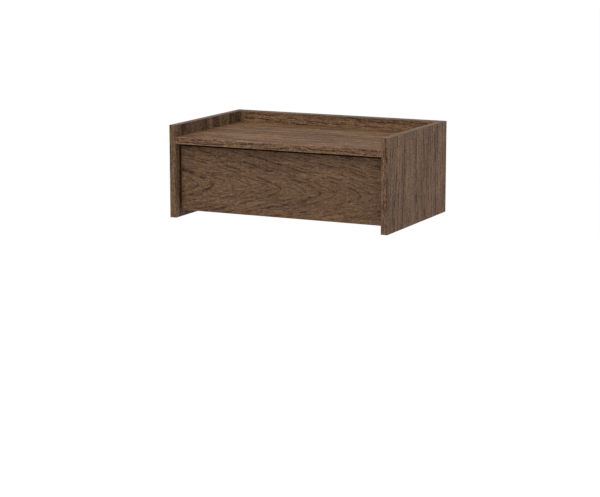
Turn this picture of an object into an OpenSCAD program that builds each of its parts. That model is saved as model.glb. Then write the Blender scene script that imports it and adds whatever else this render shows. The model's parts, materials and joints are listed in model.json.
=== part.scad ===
// Wall shelf with one drawer. Two side panels carry a shelf and a back panel that all
// end level with each other, and a drawer without a handle runs below the shelf on
// roller runners. X runs along the wall, the wall plane is Y = 0, the front faces -Y
// and Z is up. The origin is the centre of the four wall holes. Sizes in millimetres.

/* [Overall] */
// Width over the side panels
overall_w = 500; // [420:1:700]
// Depth from the wall to the front edges
overall_d = 318; // [290:1:400]
// Height of the side panels
overall_h = 197; // [188:1:260]

/* [Boards] */
// Thickness of the side panels
side_t = 15; // [14:0.5:22]
// Thickness of the shelf
shelf_t = 15; // [11:0.5:16]
// Thickness of the back panel
back_t = 22; // [18:0.5:25]
// Thickness of the edging on the visible edges
edging_t = 1; // [0.4:0.1:2]

/* [Shelf and back] */
// How far the sides and the back stand up past the shelf
upstand_h = 24.5; // [12:0.1:32]
// Height of the back panel's lower edge above the sides' lower edges
back_lift = 15; // [0:1:25]
// Gap between each end of the back panel and the side panel
back_end_gap = 1; // [0.1:0.1:2]

/* [Drawer front] */
// Thickness of the drawer front
front_t = 15; // [14:0.5:18]
// How far the drawer front lies behind the sides' front edges
front_recess = 17; // [2:0.5:20]
// Gap between each end of the drawer front and the side panel
front_side_gap = 3.3; // [1:0.1:5]
// Gap between the drawer front and the shelf
front_top_gap = 5; // [2:0.5:10]
// Height of the drawer front's lower edge above the sides' lower edges
front_lift = 15; // [8:1:20]

/* [Drawer box] */
// Thickness of the drawer's sides and back
box_t = 12; // [12:0.5:15]
// Height of the drawer's sides
box_h = 110; // [90:1:114]
// Thickness of the drawer's bottom
bottom_t = 3; // [2.5:0.1:4]
// Height of the bottom's groove above the drawer sides' lower edges
groove_lift = 10; // [8:0.5:14]
// Depth of the bottom's groove
groove_depth = 5; // [3:0.5:5.5]
// Clearance of the bottom in its groove
groove_clear = 0.2; // [0.1:0.1:0.4]
// Gap between the closed drawer and the back panel
drawer_rear_gap = 14; // [8:1:40]

/* [Runners] */
// Length of rail that stays side by side when the drawer is fully out
runner_overlap = 70; // [60:1:120]
// Space that a runner takes between the side panel and the drawer
runner_space = 12.5; // [12.2:0.1:14]
// Height of the runners' lower edges above the sides' lower edges
runner_lift = 22; // [16:1:24]
// Gap from the drawer front's back face to the carcass rails
rail_setback = 2; // [1:0.5:4]
// Thickness of the rails' steel
rail_t = 1.2; // [1:0.1:1.5]
// Width of the carcass rail's lower flange, which is the rollers' track
track_w = 10.2; // [9.5:0.1:10.5]
// Width of the carcass rail's upper flange
lip_w = 8; // [5:0.5:9]
// Width of the flange under the drawer's side
seat_w = 12; // [8:0.5:12]
// Height of the stop lugs above the track
stop_h = 3; // [2:0.5:4]
// Distance of the roller's axle from its rail's end
roller_end = 12; // [11:0.5:16]
// Diameter of the rollers
roller_d = 20; // [18:0.5:21]
// Width of the rollers
roller_w = 6; // [5:0.1:6.2]
// Distance of the rollers from the side panel
roller_u = 3.7; // [3.6:0.1:3.9]
// Diameter of the rollers' axles
axle_d = 4; // [3:0.5:5]
// Radial running clearance of a roller on its axle
axle_clear = 0.05; // [0.03:0.01:0.09]
// Rolling clearance between a roller and its track
roll_clear = 0.3; // [0.2:0.1:0.5]

/* [Wall holes] */
// Diameter of the holes for the wall screws
wall_hole_d = 6; // [4:0.5:8]
// Diameter of their countersinks
wall_sink_d = 12; // [9:0.5:14]
// Distance of the wall holes from the back panel's ends
wall_hole_inset = 54; // [40:1:80]
// Height of the wall holes' centre above the sides' lower edges
wall_hole_z = 95; // [85:1:105]
// Distance between the upper and the lower wall holes
wall_hole_pitch = 70; // [50:1:80]

/* [Fasteners] */
// Distance of the cam locks from their board's end
cam_reach = 24; // [20:1:34]
// Diameter of the cam locks in the thin boards
cam_d = 12; // [10:0.5:12]
// Diameter of the cam locks in the back panel
back_cam_d = 15; // [12:0.5:16]
// Distance of the shelf's cam locks from its front and rear edges
shelf_cam_inset = 50; // [40:1:70]
// Distance of the back panel's cam locks from its lower edge and from the shelf
back_cam_inset = 30; // [22:1:36]
// Distance of the drawer's cam locks from its sides' upper and lower edges
drawer_cam_inset = 27; // [24:1:34]
// Distance from a cam lock to the dowel beside it
dowel_offset = 24; // [18:1:26]
// Diameter of the dowels in the thin boards
dowel_d = 6; // [5:0.5:6]
// Diameter of the dowels in the back panel
back_dowel_d = 8; // [6:0.5:10]
// Length of the dowels
dowel_len = 30; // [24:1:36]
// Distance between the screws that join the back panel to the shelf
shelf_screw_pitch = 150; // [100:1:180]
// Distance between the screws under the drawer's back
bottom_screw_pitch = 140; // [80:1:160]
// Distance of the drawer back's screws from its upper and lower edges
drawer_back_inset = 25; // [20:1:30]
// Distance of the carcass rails' screws from their rail's front end
rail_screw_front = 37; // [32:1:60]
// Distance of the carcass rails' rear screws from their rail's rear end
rail_screw_rear = 30; // [24:1:60]
// Distance of the drawer rails' screws from their rail's ends
seat_screw_end = 40; // [20:1:60]
// Distance of the drawer rails' screws from the drawer side's outer face
seat_screw_inset = 4.5; // [3.5:0.1:4.6]

/* [Hidden] */
$fn = 48;

// How far a cutting shape runs past the face that it cuts
past = 1;
// Radial clearance of fasteners, dowels and cam locks in their holes
fastener_clear = 0.05;
cam_clear = 0.1;
// Spare depth of a blind hole past the fastener in it
hole_spare = 0.5;
// Joint between two strips of edging that meet at a corner
edging_joint = 0.05;
// How far a cam lock reaches past the bolt's centre, and lies below the board's face
cam_past_bolt = 4;
back_cam_past_bolt = 5;
cam_sunk = 0.2;
cam_recess_share = 0.8;
// Length of a dowel in the side panel or in the drawer front
dowel_in = 10;
dowel_chamfer = 1;

// Cam bolt: screwed part, collar in the board's end, neck and head
bolt_thread_d = 5;
bolt_thread_len = 10.5;
bolt_bore_d = 7;
bolt_collar_d = 6.8;
bolt_collar_len = 2;
bolt_neck_d = 4;
bolt_head_d = 5.6;
bolt_head_len = 4;
bolt_head_clear = 0.4;
bolt_chamfer = 1;

// Screws: [diameter, length, head diameter, head height]; a pan head is on top of the length
shelf_screw = [4.5, 50, 8.6, 2.6];
drawer_back_screw = [3.5, 40, 7, 2.2];
rail_screw = [3.5, 13, 6.6, 2];
seat_screw = [3.5, 14, 6.6, 2];
bottom_screw = [3, 12, 6, 1.8];
recess_w = 0.8;
recess_share = 0.55;
recess_depth = 1.1;

// Levels above the sides' lower edges
shelf_z = overall_h - upstand_h - shelf_t;
shelf_mid_z = shelf_z + shelf_t / 2;
front_top_z = shelf_z - front_top_gap;

// Places along the depth
front_y = -overall_d;
back_y = -back_t;
drawer_face_y = front_y + front_recess;
box_front_y = drawer_face_y + front_t;
box_rear_y = back_y - drawer_rear_gap;
drawer_back_y = box_rear_y - box_t;

// Widths
inner_w = overall_w - 2 * side_t;
back_w = inner_w - 2 * back_end_gap;
front_w = inner_w - 2 * front_side_gap;
box_w = inner_w - 2 * runner_space;
box_inner_w = box_w - 2 * box_t;

// Runner section, with u measured from the side panel's inner face towards the drawer
roller_r = roller_d / 2;
rail_play = 0.7;
flange_gap = 1.9;
seat_lift = 3;
flange_past_roller = 0.5;
lip_gap = 4;
track_z = runner_lift + rail_t;
rail_h = 2 * rail_t + roller_d + roll_clear + rail_play;
rear_axis_z = track_z + roll_clear + roller_r;
flange_z = runner_lift + rail_h + flange_gap;
front_axis_z = flange_z - roll_clear - roller_r;
web_u = runner_space - rail_t;
box_z = runner_lift + seat_lift + rail_t;
box_top_z = box_z + box_h;
groove_z = box_z + groove_lift;
groove_h = bottom_t + groove_clear;
drawer_back_z = groove_z + bottom_t;
panel_tongue = groove_depth - groove_clear;

// Runner places along the depth; the rails are as long as the drawer's sides
runner_len = box_rear_y - box_front_y;
rail_y = box_front_y + rail_setback;
front_axis_y = rail_y + roller_end;
rear_axis_y = box_rear_y - roller_end;
travel = runner_len - runner_overlap;
lip_start = roller_end + roller_r + lip_gap;
stop_gap = 0.3;
stop_under = roller_r + roll_clear - stop_h;
stop_reach = sqrt(roller_r * roller_r - stop_under * stop_under) + stop_gap;

// Roller and axle
roller_chamfer = 0.6;
roller_dish = 1.5;
roller_dish_r = 6.5;
axle_head_d = 6.6;
axle_head_t = 1;
axle_head_gap = 0.2;
axle_collar_gap = 0.3;

// Heights and places of the joints
shelf_cam_y = [front_y + shelf_cam_inset, back_y - shelf_cam_inset];
shelf_dowel_y = [shelf_cam_y[0] + dowel_offset, shelf_cam_y[1] - dowel_offset];
back_cam_z = [back_lift + back_cam_inset, shelf_z - back_cam_inset];
back_dowel_z = [back_cam_z[0] + dowel_offset, back_cam_z[1] - dowel_offset];
drawer_cam_z = [box_z + drawer_cam_inset, box_top_z - drawer_cam_inset];
drawer_dowel_z = (drawer_cam_z[0] + drawer_cam_z[1]) / 2;
drawer_back_screw_z = [drawer_back_z + drawer_back_inset, box_top_z - drawer_back_inset];
rail_screw_y = [
    rail_y + rail_screw_front,
    (2 * rail_y + rail_screw_front + runner_len - rail_screw_rear) / 2,
    rail_y + runner_len - rail_screw_rear
];
rail_screw_z = runner_lift + rail_h / 2;
seat_screw_y = [box_front_y + seat_screw_end, box_rear_y - seat_screw_end];
side_mid_u = runner_space + box_t / 2;
wall_hole_x = back_w / 2 - wall_hole_inset;

oak = [0.40, 0.32, 0.26];
oak_edge = [0.36, 0.28, 0.22];
coated_steel = [0.16, 0.14, 0.13];
zinc = [0.72, 0.73, 0.74];
nylon = [0.90, 0.90, 0.87];
beech = [0.80, 0.66, 0.48];
hardboard = [0.42, 0.33, 0.26];

// Moves what is drawn from the sides' lower edges to the origin at the wall holes
module seated() translate([0, 0, -wall_hole_z]) children();

// The same shape at the left and, mirrored, at the right
module left_and_right() {
    children();
    mirror([1, 0, 0]) children();
}

module right() mirror([1, 0, 0]) children();

// A box between two corners
module block(low, high) translate(low) cube(high - low);

// Local Z along +X from a point on the left side panel's inner face
module from_side(u, y, z) translate([u - inner_w / 2, y, z]) rotate([0, 90, 0]) children();

// Local Z into the left side panel from the inner face of the rail on it
module into_side(y, z) from_side(rail_t, y, z) mirror([0, 0, 1]) children();

// Local Z along +Y from the drawer front's back face, in the drawer's left side
module from_front(z) translate([side_mid_u - inner_w / 2, box_front_y, z]) rotate([-90, 0, 0]) children();

// Screws point along +Z, with the board's face at z = 0
module countersunk_screw(s) {
    difference() {
        rotate_extrude()
            polygon([[0, 0], [s[2] / 2, 0], [s[0] / 2, s[3]], [s[0] / 2, s[1] - s[0]], [0, s[1]]]);
        cross_recess(s[2], 0);
    }
}

module pan_screw(s) {
    bevel = s[3] / 3;
    difference() {
        rotate_extrude()
            polygon([
                [0, -s[3]], [s[2] / 2 - bevel, -s[3]], [s[2] / 2, bevel - s[3]], [s[2] / 2, 0],
                [s[0] / 2, 0], [s[0] / 2, s[1] - s[0]], [0, s[1]]
            ]);
        cross_recess(s[2], -s[3]);
    }
}

module cross_recess(head_d, top) {
    arm = head_d * recess_share;
    for (turn = [0, 90])
        rotate(turn)
            translate([-arm / 2, -recess_w / 2, top - past])
                cube([arm, recess_w, recess_depth + past]);
}

// Hole for the part of a screw past the board's face
module screw_hole(s, depth) {
    translate([0, 0, -past]) cylinder(d = s[0] + 2 * fastener_clear, h = depth + past);
}

module full_screw_hole(s) screw_hole(s, s[1] + hole_spare);

module sink_hole(s) {
    full_screw_hole(s);
    sink = s[3] + fastener_clear;
    translate([0, 0, -past])
        cylinder(d1 = s[2] + 2 * fastener_clear + 2 * past * (s[2] - s[0]) / (2 * s[3]),
                 d2 = s[0] + 2 * fastener_clear,
                 h = sink + past);
}

// Dowel across the joint plane z = 0, with dowel_in below it
module dowel(d) {
    translate([0, 0, -dowel_in])
        rotate_extrude()
            polygon([
                [0, 0], [d / 2 - dowel_chamfer, 0], [d / 2, dowel_chamfer],
                [d / 2, dowel_len - dowel_chamfer], [d / 2 - dowel_chamfer, dowel_len], [0, dowel_len]
            ]);
}

module dowel_hole(d) {
    translate([0, 0, -dowel_in - hole_spare])
        cylinder(d = d + 2 * fastener_clear, h = dowel_len + 2 * hole_spare);
}

// Cam bolt across the joint plane z = 0, screwed in below it; gap is left open at the joint
module cam_bolt(gap = 0) {
    head_z = cam_reach + gap - bolt_head_len / 2;
    rotate_extrude()
        polygon([
            [0, -bolt_thread_len], [bolt_thread_d / 2 - bolt_chamfer, -bolt_thread_len],
            [bolt_thread_d / 2, bolt_chamfer - bolt_thread_len], [bolt_thread_d / 2, 0],
            [bolt_collar_d / 2, 0], [bolt_collar_d / 2, bolt_collar_len],
            [bolt_neck_d / 2, bolt_collar_len], [bolt_neck_d / 2, head_z],
            [bolt_head_d / 2, head_z + bolt_chamfer],
            [bolt_head_d / 2, head_z + bolt_head_len - bolt_chamfer],
            [bolt_neck_d / 2, head_z + bolt_head_len], [0, head_z + bolt_head_len]
        ]);
}

module bolt_thread_hole() {
    translate([0, 0, -bolt_thread_len - hole_spare])
        cylinder(d = bolt_thread_d + 2 * fastener_clear, h = bolt_thread_len + hole_spare + past);
}

module bolt_bore(gap = 0) {
    translate([0, 0, -past]) cylinder(d = bolt_bore_d, h = cam_reach + gap + past);
}

// Cam lock with its face at z = 0 and its body above; the bolt comes along local -X at bolt_z
module cam_lock(d, bolt_z, depth) {
    pocket_d = bolt_head_d + 2 * bolt_head_clear;
    difference() {
        translate([0, 0, cam_sunk]) cylinder(d = d - 2 * cam_clear, h = depth - cam_sunk);
        translate([-d, 0, bolt_z]) rotate([0, 90, 0]) cylinder(d = pocket_d, h = d + pocket_d / 2);
        translate([0, 0, cam_sunk]) cross_recess(d * cam_recess_share, 0);
    }
}

module cam_hole(d, depth) translate([0, 0, -past]) cylinder(d = d, h = depth + past);

// Places of the cam locks, each with its face at z = 0 and the bolt along local -X
module at_shelf_cams() {
    for (y = shelf_cam_y)
        translate([cam_reach - inner_w / 2, y, shelf_z]) children();
}

module at_back_cams() {
    for (z = back_cam_z)
        translate([cam_reach - back_w / 2, 0, z]) rotate([90, 0, 0]) children();
}

module at_drawer_cams() {
    for (z = drawer_cam_z)
        translate([-box_inner_w / 2, box_front_y + cam_reach, z])
            rotate([0, -90, 0]) rotate(90) children();
}

// Side panels, drawn at the left
module side_panel() {
    difference() {
        block([-overall_w / 2, front_y + edging_t, edging_t], [-inner_w / 2, 0, overall_h - edging_t]);
        for (y = shelf_cam_y) from_side(0, y, shelf_mid_z) bolt_thread_hole();
        for (y = shelf_dowel_y) from_side(0, y, shelf_mid_z) dowel_hole(dowel_d);
        for (z = back_cam_z) from_side(0, -back_t / 2, z) bolt_thread_hole();
        for (z = back_dowel_z) from_side(0, -back_t / 2, z) dowel_hole(back_dowel_d);
        for (y = rail_screw_y) into_side(y, rail_screw_z) full_screw_hole(rail_screw);
    }
}

// Three strips of edging: along the front, the top and the lower edge
module side_edging() {
    outer = -overall_w / 2;
    inner = -inner_w / 2;
    strip_y = front_y + edging_t + edging_joint;
    block([outer, front_y, 0], [inner, front_y + edging_t, overall_h]);
    block([outer, strip_y, overall_h - edging_t], [inner, 0, overall_h]);
    block([outer, strip_y, 0], [inner, 0, edging_t]);
}

module left_side_panel() color(oak) seated() side_panel();
module right_side_panel() color(oak) seated() right() side_panel();
module left_side_edging() color(oak_edge) seated() side_edging();
module right_side_edging() color(oak_edge) seated() right() side_edging();

// Shelf
module top_shelf() color(oak) seated() {
    difference() {
        block([-inner_w / 2, front_y + edging_t, shelf_z], [inner_w / 2, back_y, shelf_z + shelf_t]);
        left_and_right() {
            for (y = shelf_cam_y) from_side(0, y, shelf_mid_z) bolt_bore();
            for (y = shelf_dowel_y) from_side(0, y, shelf_mid_z) dowel_hole(dowel_d);
            at_shelf_cams() cam_hole(cam_d, shelf_t / 2 + cam_past_bolt);
        }
        at_shelf_screws() full_screw_hole(shelf_screw);
    }
}

module shelf_edging() color(oak_edge) seated()
    block([-inner_w / 2, front_y, shelf_z], [inner_w / 2, front_y + edging_t, shelf_z + shelf_t]);

module at_shelf_screws() {
    for (place = [-1:1])
        translate([place * shelf_screw_pitch, 0, shelf_mid_z]) rotate([90, 0, 0]) children();
}

module shelf_cam_locks() color(zinc) seated() left_and_right()
    at_shelf_cams() cam_lock(cam_d, shelf_t / 2, shelf_t / 2 + cam_past_bolt);

module shelf_cam_bolts() color(zinc) seated() left_and_right()
    for (y = shelf_cam_y) from_side(0, y, shelf_mid_z) cam_bolt();

module shelf_dowels() color(beech) seated() left_and_right()
    for (y = shelf_dowel_y) from_side(0, y, shelf_mid_z) dowel(dowel_d);

module shelf_screws() color(zinc) seated() at_shelf_screws() countersunk_screw(shelf_screw);

// Back panel, with countersunk holes for the wall screws
module back_panel() color(oak) seated() {
    difference() {
        block([-back_w / 2, back_y, back_lift + edging_t], [back_w / 2, 0, overall_h - edging_t]);
        left_and_right() {
            for (z = back_cam_z) from_side(0, -back_t / 2, z) bolt_bore(back_end_gap);
            for (z = back_dowel_z) from_side(0, -back_t / 2, z) dowel_hole(back_dowel_d);
            at_back_cams() cam_hole(back_cam_d, back_t / 2 + back_cam_past_bolt);
            for (side = [-1, 1])
                translate([wall_hole_x, 0, wall_hole_z + side * wall_hole_pitch / 2]) wall_hole();
        }
        at_shelf_screws() sink_hole(shelf_screw);
    }
}

module wall_hole() {
    sink = (wall_sink_d - wall_hole_d) / 2;
    rotate([90, 0, 0]) translate([0, 0, -past]) cylinder(d = wall_hole_d, h = back_t + 2 * past);
    translate([0, back_y + sink, 0])
        rotate([90, 0, 0])
            cylinder(d1 = wall_hole_d, d2 = wall_sink_d + 2 * past, h = sink + past);
}

module back_panel_edging() color(oak_edge) seated() {
    block([-back_w / 2, back_y, overall_h - edging_t], [back_w / 2, 0, overall_h]);
    block([-back_w / 2, back_y, back_lift], [back_w / 2, 0, back_lift + edging_t]);
}

module back_cam_locks() color(zinc) seated() left_and_right()
    at_back_cams() cam_lock(back_cam_d, back_t / 2, back_t / 2 + back_cam_past_bolt);

module back_cam_bolts() color(zinc) seated() left_and_right()
    for (z = back_cam_z) from_side(0, -back_t / 2, z) cam_bolt(back_end_gap);

module back_dowels() color(beech) seated() left_and_right()
    for (z = back_dowel_z) from_side(0, -back_t / 2, z) dowel(back_dowel_d);

// Carcass rail: a channel, drawn at the left, whose lower flange is the rear roller's track
module carcass_rail() {
    rail_rear = rail_y + runner_len;
    difference() {
        union() {
            rail_bar([0, rail_y, runner_lift], [rail_t, rail_rear, runner_lift + rail_h]);
            rail_bar([0, rail_y, runner_lift], [track_w, rail_rear, track_z]);
            rail_bar([0, rail_y + lip_start, runner_lift + rail_h - rail_t],
                     [lip_w, rail_rear, runner_lift + rail_h]);
            stop_lug(rear_axis_y + stop_reach);
            stop_lug(rear_axis_y - travel - stop_reach - rail_t);
        }
        for (y = rail_screw_y) into_side(y, rail_screw_z) screw_hole(rail_screw, rail_t + past);
        from_side(0, front_axis_y, front_axis_z)
            translate([0, 0, -past]) cylinder(d = axle_d + 2 * fastener_clear, h = rail_t + 2 * past);
    }
}

// A box given by u from the side panel's inner face
module rail_bar(low, high) translate([-inner_w / 2, 0, 0]) block(low, high);

module stop_lug(y) rail_bar([roller_u, y, runner_lift], [track_w, y + rail_t, track_z + stop_h]);

module left_carcass_rail() color(coated_steel) seated() carcass_rail();
module right_carcass_rail() color(coated_steel) seated() right() carcass_rail();

module carcass_rail_screws() color(zinc) seated() left_and_right()
    for (y = rail_screw_y) into_side(y, rail_screw_z) pan_screw(rail_screw);

// Roller with its bore along +Z, from z = 0 to roller_w, dished at the axle's head
module roller() {
    bore_r = axle_d / 2 + axle_clear;
    rotate_extrude()
        polygon([
            [bore_r, 0], [roller_r - roller_chamfer, 0], [roller_r, roller_chamfer],
            [roller_r, roller_w - roller_chamfer], [roller_r - roller_chamfer, roller_w],
            [roller_dish_r, roller_w], [roller_dish_r, roller_w - roller_dish],
            [bore_r, roller_w - roller_dish]
        ]);
}

// Axle along +Z through the web at z = 0: flush end, collar, shaft and head in the roller's dish
module axle(web_to_roller) {
    collar_z = rail_t + web_to_roller - axle_collar_gap;
    head_z = rail_t + web_to_roller + roller_w - roller_dish + axle_head_gap;
    rotate_extrude()
        polygon([
            [0, 0], [axle_d / 2, 0], [axle_d / 2, rail_t], [axle_head_d / 2, rail_t],
            [axle_head_d / 2, collar_z], [axle_d / 2, collar_z], [axle_d / 2, head_z],
            [axle_head_d / 2, head_z], [axle_head_d / 2, head_z + axle_head_t], [0, head_z + axle_head_t]
        ]);
}

module front_roller() from_side(roller_u, front_axis_y, front_axis_z) roller();

module rear_roller()
    from_side(roller_u + roller_w, rear_axis_y, rear_axis_z) mirror([0, 0, 1]) roller();

module left_front_roller() color(nylon) seated() front_roller();
module right_front_roller() color(nylon) seated() right() front_roller();
module left_rear_roller() color(nylon) seated() rear_roller();
module right_rear_roller() color(nylon) seated() right() rear_roller();

module front_roller_axles() color(zinc) seated() left_and_right()
    from_side(0, front_axis_y, front_axis_z) axle(roller_u - rail_t);

module rear_roller_axles() color(zinc) seated() left_and_right()
    from_side(runner_space, rear_axis_y, rear_axis_z)
        mirror([0, 0, 1]) axle(web_u - roller_u - roller_w);

// Drawer rail, drawn at the left: a flange under the drawer's side, a web along it and
// a flange above the carcass rail, which rests on the front roller
module drawer_rail() {
    seat_z = runner_lift + seat_lift;
    difference() {
        union() {
            rail_bar([web_u, box_front_y, seat_z], [runner_space, box_rear_y, flange_z + rail_t]);
            rail_bar([web_u, box_front_y, seat_z], [runner_space + seat_w, box_rear_y, box_z]);
            rail_bar([roller_u - flange_past_roller, box_front_y, flange_z],
                     [runner_space, box_rear_y, flange_z + rail_t]);
        }
        at_seat_screws() screw_hole(seat_screw, rail_t + past);
        from_side(web_u, rear_axis_y, rear_axis_z)
            translate([0, 0, -past]) cylinder(d = axle_d + 2 * fastener_clear, h = rail_t + 2 * past);
    }
}

// Places of the screws from the drawer rail up into the drawer's side
module at_seat_screws() {
    for (y = seat_screw_y)
        translate([runner_space + seat_screw_inset - inner_w / 2, y, box_z - rail_t]) children();
}

module left_drawer_rail() color(coated_steel) seated() drawer_rail();
module right_drawer_rail() color(coated_steel) seated() right() drawer_rail();
module drawer_rail_screws() color(zinc) seated() left_and_right() at_seat_screws() pan_screw(seat_screw);

// Drawer front, with edging on all four edges and a groove for the bottom
module drawer_front() color(oak) seated() {
    half = front_w / 2 - edging_t;
    difference() {
        block([-half, drawer_face_y, front_lift + edging_t], [half, box_front_y, front_top_z - edging_t]);
        block([-box_inner_w / 2 - groove_depth, box_front_y - groove_depth, groove_z],
              [box_inner_w / 2 + groove_depth, box_front_y + past, groove_z + groove_h]);
        left_and_right() {
            for (z = drawer_cam_z) from_front(z) bolt_thread_hole();
            from_front(drawer_dowel_z) dowel_hole(dowel_d);
        }
    }
}

module drawer_front_edging() color(oak_edge) seated() {
    half = front_w / 2;
    block([-half, drawer_face_y, front_lift], [half, box_front_y, front_lift + edging_t]);
    block([-half, drawer_face_y, front_top_z - edging_t], [half, box_front_y, front_top_z]);
    left_and_right()
        block([-half, drawer_face_y, front_lift + edging_t + edging_joint],
              [edging_t - half, box_front_y, front_top_z - edging_t - edging_joint]);
}

// Drawer side, drawn at the left
module drawer_side() {
    difference() {
        block([-box_w / 2, box_front_y, box_z], [-box_inner_w / 2, box_rear_y, box_top_z]);
        block([-box_inner_w / 2 - groove_depth, box_front_y - past, groove_z],
              [past - box_inner_w / 2, box_rear_y + past, groove_z + groove_h]);
        for (z = drawer_cam_z) from_front(z) bolt_bore();
        from_front(drawer_dowel_z) dowel_hole(dowel_d);
        at_drawer_cams() cam_hole(cam_d, box_t / 2 + cam_past_bolt);
        at_drawer_back_screws() sink_hole(drawer_back_screw);
        at_seat_screws() full_screw_hole(seat_screw);
    }
}

module drawer_left_side() color(oak) seated() drawer_side();
module drawer_right_side() color(oak) seated() right() drawer_side();

module at_drawer_back_screws() {
    for (z = drawer_back_screw_z) from_side(runner_space, drawer_back_y + box_t / 2, z) children();
}

module at_bottom_screws() {
    for (place = [-1:1])
        translate([place * bottom_screw_pitch, drawer_back_y + box_t / 2, groove_z]) children();
}

module drawer_back() color(oak) seated() {
    difference() {
        block([-box_inner_w / 2, drawer_back_y, drawer_back_z], [box_inner_w / 2, box_rear_y, box_top_z]);
        left_and_right() at_drawer_back_screws() full_screw_hole(drawer_back_screw);
        at_bottom_screws() full_screw_hole(bottom_screw);
    }
}

module drawer_bottom() color(hardboard) seated() {
    half = box_inner_w / 2 + panel_tongue;
    difference() {
        block([-half, box_front_y - panel_tongue, groove_z], [half, box_rear_y, groove_z + bottom_t]);
        at_bottom_screws() screw_hole(bottom_screw, bottom_t + past);
    }
}

module drawer_cam_locks() color(zinc) seated() left_and_right()
    at_drawer_cams() cam_lock(cam_d, box_t / 2, box_t / 2 + cam_past_bolt);

module drawer_cam_bolts() color(zinc) seated() left_and_right()
    for (z = drawer_cam_z) from_front(z) cam_bolt();

module drawer_dowels() color(beech) seated() left_and_right()
    from_front(drawer_dowel_z) dowel(dowel_d);

module drawer_back_screws() color(zinc) seated() left_and_right()
    at_drawer_back_screws() countersunk_screw(drawer_back_screw);

module drawer_bottom_screws() color(zinc) seated() at_bottom_screws() pan_screw(bottom_screw);

left_side_panel();
right_side_panel();
top_shelf();
back_panel();
left_side_edging();
right_side_edging();
shelf_edging();
back_panel_edging();
shelf_cam_locks();
shelf_cam_bolts();
shelf_dowels();
shelf_screws();
back_cam_locks();
back_cam_bolts();
back_dowels();
left_carcass_rail();
right_carcass_rail();
carcass_rail_screws();
front_roller_axles();
drawer_front();
drawer_front_edging();
drawer_left_side();
drawer_right_side();
drawer_back();
drawer_bottom();
drawer_cam_locks();
drawer_cam_bolts();
drawer_dowels();
drawer_back_screws();
drawer_bottom_screws();
left_drawer_rail();
right_drawer_rail();
drawer_rail_screws();
rear_roller_axles();
left_front_roller();
right_front_roller();
left_rear_roller();
right_rear_roller();
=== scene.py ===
"""Looks of the wall shelf with drawer: oak-finish boards with edging, runners and fittings."""

import json
import logging
import math
from collections.abc import Callable, Iterable, Iterator
from contextlib import contextmanager
from dataclasses import dataclass, field
from enum import Enum

import bpy
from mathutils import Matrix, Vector

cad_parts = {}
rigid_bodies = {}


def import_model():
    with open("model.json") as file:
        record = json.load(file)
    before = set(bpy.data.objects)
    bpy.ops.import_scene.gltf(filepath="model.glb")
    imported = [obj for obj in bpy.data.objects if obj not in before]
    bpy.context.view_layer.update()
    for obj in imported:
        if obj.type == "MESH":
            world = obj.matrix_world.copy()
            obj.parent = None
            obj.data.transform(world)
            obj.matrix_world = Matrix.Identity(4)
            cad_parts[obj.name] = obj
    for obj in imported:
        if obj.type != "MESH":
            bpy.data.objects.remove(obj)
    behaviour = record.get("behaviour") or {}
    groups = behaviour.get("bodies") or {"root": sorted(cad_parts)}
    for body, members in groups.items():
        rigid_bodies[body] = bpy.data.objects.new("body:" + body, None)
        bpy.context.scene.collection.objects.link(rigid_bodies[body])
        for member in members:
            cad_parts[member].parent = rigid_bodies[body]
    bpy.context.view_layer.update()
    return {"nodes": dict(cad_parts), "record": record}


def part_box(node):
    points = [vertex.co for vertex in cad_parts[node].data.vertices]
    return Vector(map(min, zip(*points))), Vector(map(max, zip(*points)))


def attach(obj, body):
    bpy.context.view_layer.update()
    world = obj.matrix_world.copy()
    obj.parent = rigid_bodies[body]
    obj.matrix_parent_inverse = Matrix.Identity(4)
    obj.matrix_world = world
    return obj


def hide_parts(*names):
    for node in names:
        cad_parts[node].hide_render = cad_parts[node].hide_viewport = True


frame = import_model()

MM = 0.001

# Faces that meet at less than this angle are shaded as one surface.
SMOOTH_ANGLE = math.radians(40)
# A corner that is nearer to a plane than this lies on it.
ON_PLANE = 0.02 * MM
# Corners that are nearer to each other than this are merged.
SAME_PLACE = 0.001 * MM
# Solids are sorted by their places, in metres with this many decimals.
SORT_DIGITS = 4
# A face looks along an axis when its normal has more than this share there.
FACING = 0.9
# How far a cutter runs past the face that it opens.
PAST = 1.0 * MM

WHITE = (1.0, 1.0, 1.0, 1.0)

log = logging.getLogger("wall_shelf")

Point = tuple[float, float, float]
Colour = tuple[float, float, float]
Stops = Iterable[tuple[float, Colour]]
EdgeTest = Callable[[Vector, Vector], bool]
FaceTest = Callable[[bpy.types.MeshPolygon], bool]
Number = "Value | float"
Tint = "bpy.types.NodeSocket | Colour"


class Axis(Enum):
    """A direction of the frame."""

    X = 0
    Y = 1
    Z = 2


class Side(Enum):
    """A side of the object, as its direction along X."""

    LEFT = -1
    RIGHT = 1

    @property
    def label(self) -> str:
        """The side's word in the names of nodes and finishes."""
        return self.name.lower()


class Selection(Enum):
    """What edit mode selects, as its switches for corners, edges and faces."""

    EDGES = (False, True, False)
    FACES = (False, False, True)


class Combination(Enum):
    """What happens to a piece with a second shape, as the name of the boolean operation."""

    TAKEN_OUT = "DIFFERENCE"
    ADDED = "UNION"


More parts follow.
